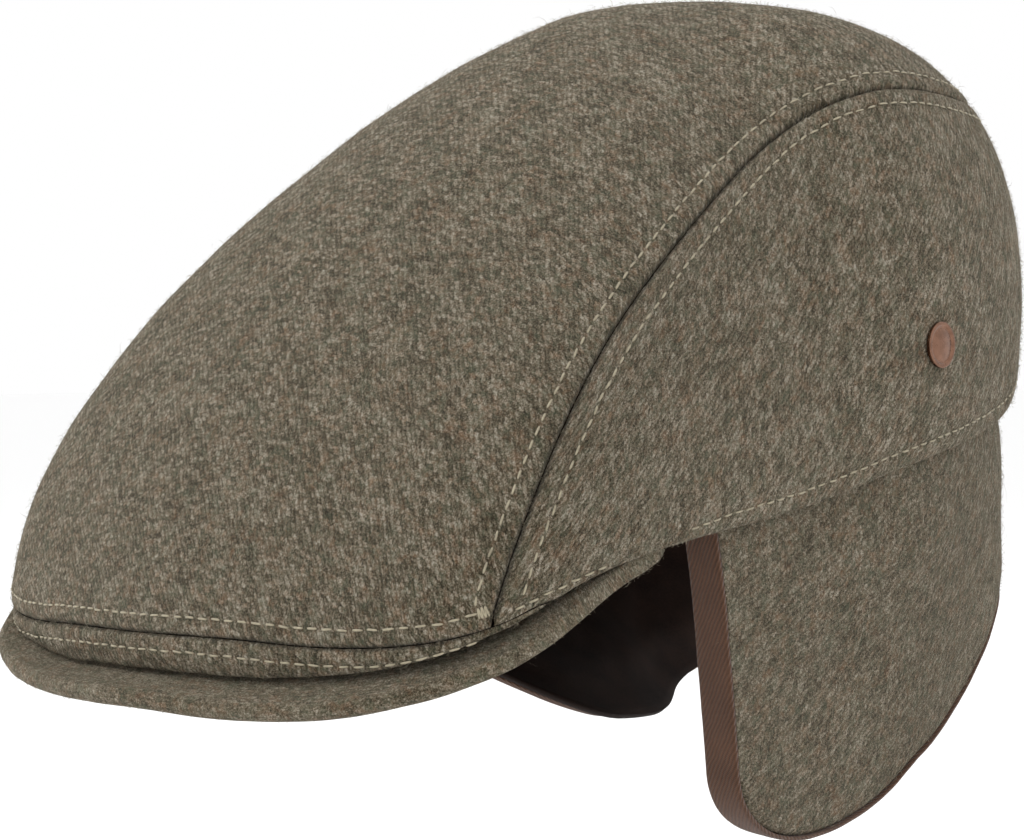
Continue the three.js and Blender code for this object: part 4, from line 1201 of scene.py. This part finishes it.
def woolMaterial(name, ribTurn, ribShow=1.0, light=0.0):
    material, tree, shader = newMaterial(name, wool["finish"])
    mm = clothPlace(tree)
    # the ribs wander a little, widely and from yarn to yarn
    wander = vector(tree, "SUBTRACT", grain(tree, mm, 0.12, 2.0, 0.6, "Color"), (0.5, 0.5, 0.5))
    jitter = vector(tree, "SUBTRACT", grain(tree, mm, 1.3, 1.0, 0.6, "Color"), (0.5, 0.5, 0.5))
    moved = vector(tree, "ADD", mm, vector(tree, "SCALE", wander, 2.2))
    moved = vector(tree, "ADD", moved, vector(tree, "SCALE", jitter, 0.9))
    across, along = turnedBy(tree, moved, ribTurn)[:2]
    ribs = calc(tree, "DIVIDE", across, wool["ribPitch"])
    ribNumber = calc(tree, "FLOOR", ribs)
    inRib = fraction(tree, ribs, ribNumber)
    profile = hump(tree, inRib)
    # floats: along each rib, short slanting yarns with a dark gap between them
    stagger = put(tree, "ShaderNodeTexWhiteNoise", {"W": ribNumber}, noise_dimensions="1D").outputs[0]
    run = addUp(tree, calc(tree, "DIVIDE", along, wool["dashLength"]), times(tree, stagger, 3.0),
                times(tree, inRib, wool["slant"]))
    floatNumber = calc(tree, "FLOOR", run)
    floats = hump(tree, fraction(tree, run, floatNumber))
    yarn = put(tree, "ShaderNodeCombineXYZ", {0: ribNumber, 1: floatNumber}).outputs[0]
    yarnNoise = put(tree, "ShaderNodeTexWhiteNoise", {"Vector": yarn}, noise_dimensions="2D")
    dash = yarnNoise.outputs["Value"]
    fibre = grain(tree, mm, 1.9, 4.0, 0.8)
    fleck = grain(tree, vector(tree, "ADD", mm, (31.7, 12.1, 0)), 3.4, 2.0, 0.6)
    clump = grain(tree, mm, 0.6, 3.0, 0.65)
    patch = grain(tree, mm, 0.085, 4.0, 0.6)
    # light lifts the whole colour of a panel: painted light, for the panels of one wool that get more light
    value = addUp(
        tree,
        spread(tree, dash, 0.46 * ribShow),
        0.50 + light,
        times(tree, profile, 0.10 * ribShow),
        times(tree, floats, 0.055 * ribShow),
        spread(tree, fibre, 1.75),
        spread(tree, fleck, 0.6),
        spread(tree, clump, 0.62),
        spread(tree, patch, 0.32),
        clamp=True,
    )
    colour = shadeRamp(tree, value, wool["shades"])
    near, wide = grain(tree, mm, 0.45, 3.0, 0.75, "Color"), grain(tree, mm, 0.13, 3.0, 0.7, "Color")
    noises = (near, yarnNoise.outputs["Color"], wide)
    noises = [put(tree, "ShaderNodeSeparateColor", {0: one}) for one in noises]
    brownShare = tintShare(tree, noises, 0, (0.5, 0.55, 0.48), 0.75)
    greenShare = tintShare(tree, noises, 1, (0.46, 0.55, 0.46), 0.8)
    brown, green = linear(*wool["brown"]), linear(*wool["green"])
    colour = blendColour(tree, "SOFT_LIGHT", brownShare, colour, brown)
    colour = blendColour(tree, "MIX", times(tree, brownShare, 0.42), colour, brown)
    colour = blendColour(tree, "MIX", times(tree, greenShare, 0.45), colour, green)
    # painted shade: the colour darkens close to each seam, in its groove
    seamShadeDistance = put(tree, "ShaderNodeAttribute", attribute_name="seamShadeDistance", attribute_type="GEOMETRY")
    ends = {"Value": seamShadeDistance.outputs["Fac"], 1: 0.05, 2: 1.0, 3: wool["seamShadeLevel"], 4: 1.0}
    shown = put(tree, "ShaderNodeMapRange", ends, clamp=True).outputs[0]
    grey = put(tree, "ShaderNodeCombineXYZ", {0: shown, 1: shown, 2: shown}).outputs[0]
    tree.links.new(blendColour(tree, "MULTIPLY", 1.0, colour, grey), shader.inputs["Base Color"])
    height = addUp(
        tree,
        times(tree, profile, 0.34 * ribShow),
        times(tree, floats, 0.16 * ribShow),
        spread(tree, dash, 0.35 * ribShow),
        times(tree, fibre, 1.5),
        times(tree, clump, 0.6),
    )
    bumpUp(tree, shader, height, 1.0, wool["deep"])
    return material


def liningMaterial():
    material, tree, shader = newMaterial("brownLining", {
        "Roughness": 0.78, "Specular IOR Level": 0.08, "Sheen Weight": 0.03, "Sheen Roughness": 0.4})
    mm = clothPlace(tree)
    across, along = put(tree, "ShaderNodeSeparateXYZ", {0: mm}).outputs[:2]
    weave = times(tree, wave(tree, across, 0.5), wave(tree, along, 0.42))
    nap, wide = grain(tree, mm, 1.4, 4.0, 0.7), grain(tree, mm, 0.09, 3.0)
    shade = addUp(tree, times(tree, nap, 0.55), times(tree, wide, 0.45))
    share = times(tree, calc(tree, "SUBTRACT", shade, 0.3), 2.2, clamp=True)
    colour = blendColour(tree, "MIX", share, linear(20, 13, 10), linear(46, 31, 24))
    tree.links.new(colour, shader.inputs["Base Color"])
    bumpUp(tree, shader, addUp(tree, times(tree, weave, 0.3), nap), 0.6, 0.00012)
    return material


def tapeMaterial():
    material, tree, shader = newMaterial("brownTape", {
        "Roughness": 0.8, "Specular IOR Level": 0.25, "Sheen Weight": 0.15})
    mm = clothPlace(tree)
    wander = vector(tree, "SCALE", grain(tree, mm, 0.3, output="Color"), 0.5)
    across, along = turnedBy(tree, vector(tree, "ADD", mm, wander), -28)[:2]
    twill, strand = wave(tree, along, 0.95), wave(tree, across, 0.45)
    nap, wide = grain(tree, mm, 2.6, 3.0, 0.7), grain(tree, mm, 0.10, 3.0)
    share = addUp(tree, times(tree, twill, 0.24), addUp(tree, times(tree, nap, 0.7), times(tree, wide, 0.5)))
    share = times(tree, share, 0.85, clamp=True)
    colour = blendColour(tree, "MIX", share, linear(54, 34, 23), linear(106, 74, 54))
    tree.links.new(colour, shader.inputs["Base Color"])
    height = addUp(tree, twill, addUp(tree, times(tree, strand, 0.35), nap))
    bumpUp(tree, shader, height, 0.75, 0.00014)
    return material


def threadMaterial():
    material, tree, shader = newMaterial("paleThread", {"Roughness": 0.62, "Sheen Weight": 0.1})
    ply = solidGrain(tree, 900.0, 2.0)
    colour = blendColour(tree, "MIX", ply, linear(122, 113, 92), linear(184, 174, 148))
    tree.links.new(colour, shader.inputs["Base Color"])
    bumpUp(tree, shader, ply, 0.5, 0.0001)
    return material


def fuzzMaterial():
    material, tree, shader = newMaterial("looseFibre", {"Roughness": 0.8, "Specular IOR Level": 0.2})
    tone = solidGrain(tree, 260.0, 2.0)
    share = times(tree, calc(tree, "SUBTRACT", tone, 0.3), 2.2, clamp=True)
    colour = blendColour(tree, "MIX", share, linear(78, 68, 55), linear(196, 186, 162))
    tree.links.new(colour, shader.inputs["Base Color"])
    return material


def copperMaterial():
    material, tree, shader = newMaterial("paleCopper", {"Metallic": 1.0})
    dull = solidGrain(tree, 420.0, 4.0)
    rough = put(tree, "ShaderNodeMapRange", {"Value": dull, 1: 0.3, 2: 0.7, 3: 0.16, 4: 0.38}).outputs[0]
    tree.links.new(rough, shader.inputs["Roughness"])
    colour = blendColour(tree, "MIX", dull, linear(88, 63, 50), linear(156, 118, 98))
    tree.links.new(colour, shader.inputs["Base Color"])
    bumpUp(tree, shader, dull, 0.15, 0.0001)
    return material


# copies of one wool, made lighter on the sides and the peak where more light falls: painted light
topWool = woolMaterial("woolTop", -47, 0.9, 0.01)
sideWool = woolMaterial("woolSide", 51, 0.85, 0.035)
stripWool = woolMaterial("woolStrip", 0, 0.9)
peakWool = woolMaterial("woolPeak", 88, 0.5, 0.03)
flapWool = woolMaterial("woolFlap", 68, 0.7)
lining = liningMaterial()
tape = tapeMaterial()
paleThread = threadMaterial()
looseFibre = fuzzMaterial()
copper = copperMaterial()
print("materials made")


def finish(obj, materials, nodes=()):
    for material in materials:
        obj.data.materials.append(material)
    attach(obj, "root")
    if nodes:
        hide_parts(*nodes)
    print("made", obj.name, len(obj.data.polygons))


top = makeTopPanel()
finish(top, [topWool, lining], ["top_panel"])
left = makeSidePanel(1)
finish(left, [sideWool, lining], ["side_panel_left"])
right = makeSidePanel(-1)
finish(right, [sideWool, lining], ["side_panel_right"])
strip = makeFrontStrip()
finish(strip, [stripWool, lining], ["front_strip"])
peakCover = makePeak()
finish(peakCover, [peakWool], ["peak"])
neckFlap = makeNeckFlap()
finish(neckFlap, [flapWool, lining], ["neck_flap"])
flapLining = makeFlapLining()
finish(flapLining, [lining], ["flap_lining"])
flapTape = makeFlapTape()
finish(flapTape, [tape], ["flap_tape"])
copperPin = makePin()
finish(copperPin, [copper], ["pin"])
stitches = makeStitches()
finish(stitches, [paleThread])
fuzzCounts = (
    (top, "topFuzz", 24000), (left, "leftFuzz", 11000), (right, "rightFuzz", 11000),
    (strip, "stripFuzz", 1800), (peakCover, "peakFuzz", 8000), (neckFlap, "flapFuzz", 14000),
)
strayCounts = (
    (top, "topStrays", 420), (left, "leftStrays", 240), (right, "rightStrays", 240),
    (peakCover, "peakStrays", 110), (neckFlap, "flapStrays", 220),
)
for counts, lengths in ((fuzzCounts, fuzz["length"]), (strayCounts, fuzz["strayLength"])):
    for piece, name, count in counts:
        finish(makeFuzz(name, piece, count, lengths), [looseFibre])


# Studio: a pale floor and soft light, in metres
studio = dict(
    floor=-0.150, pale=(253, 253, 253), daylight=1.0, middle=(0, -0.02, 0.02),
    key=9.5, fill=1.5, rim=4.0,
)


def makeFloor():
    bpy.ops.object.select_all(action="DESELECT")
    bpy.ops.mesh.primitive_plane_add(size=12, location=(0, 0, studio["floor"]))
    obj = bpy.context.object
    obj.name = "floor"
    material = newMaterial("paleFloor", {"Base Color": linear(*studio["pale"]), "Roughness": 0.9})[0]
    obj.data.materials.append(material)


makeFloor()
world = bpy.data.worlds.new("studio")
bpy.context.scene.world = world
world.use_nodes = True
world.node_tree.nodes["Background"].inputs[0].default_value = (1, 1, 1, 1)
world.node_tree.nodes["Background"].inputs[1].default_value = studio["daylight"]


def faceTarget(obj, azimuth, elevation, target, distance):
    # places a light or the camera round a target, with azimuth 0 in front of the peak, and aims it there
    a, e = math.radians(azimuth), math.radians(elevation)
    back = Vector((math.sin(a) * math.cos(e), -math.cos(a) * math.cos(e), math.sin(e)))
    obj.location = Vector(target) + back * distance
    obj.rotation_mode = "QUATERNION"
    obj.rotation_quaternion = (-back).to_track_quat("-Z", "Y")


def softLight(name, azimuth, elevation, distance, size, power):
    lamp = bpy.data.lights.new(name, "AREA")
    lamp.shape = "DISK"
    lamp.size = size
    lamp.energy = power
    obj = bpy.data.objects.new(name, lamp)
    bpy.context.collection.objects.link(obj)
    faceTarget(obj, azimuth, elevation, studio["middle"], distance)


softLight("keyLight", -45, 42, 1.5, 1.0, studio["key"])
softLight("fillLight", 105, 25, 1.6, 1.2, studio["fill"])
softLight("backLight", 200, 50, 1.6, 1.0, studio["rim"])

print("studio lit")

photoWidth = 1024
view = dict(
    azimuth=47.14, elevation=1.84, target=(-0.01709, -0.02171, 0.00835), distance=1.0,
    lens=141.03, down=10 / photoWidth,
)
camera = bpy.data.objects.new("camera", bpy.data.cameras.new("camera"))
bpy.context.collection.objects.link(camera)
faceTarget(camera, view["azimuth"], view["elevation"], view["target"], view["distance"])
camera.data.lens = view["lens"]
camera.data.sensor_width = 36
camera.data.shift_y = view["down"]
camera.data.clip_start = 0.05
camera.data.clip_end = 50
bpy.context.scene.camera = camera
bpy.context.scene.view_settings.view_transform = "Standard"
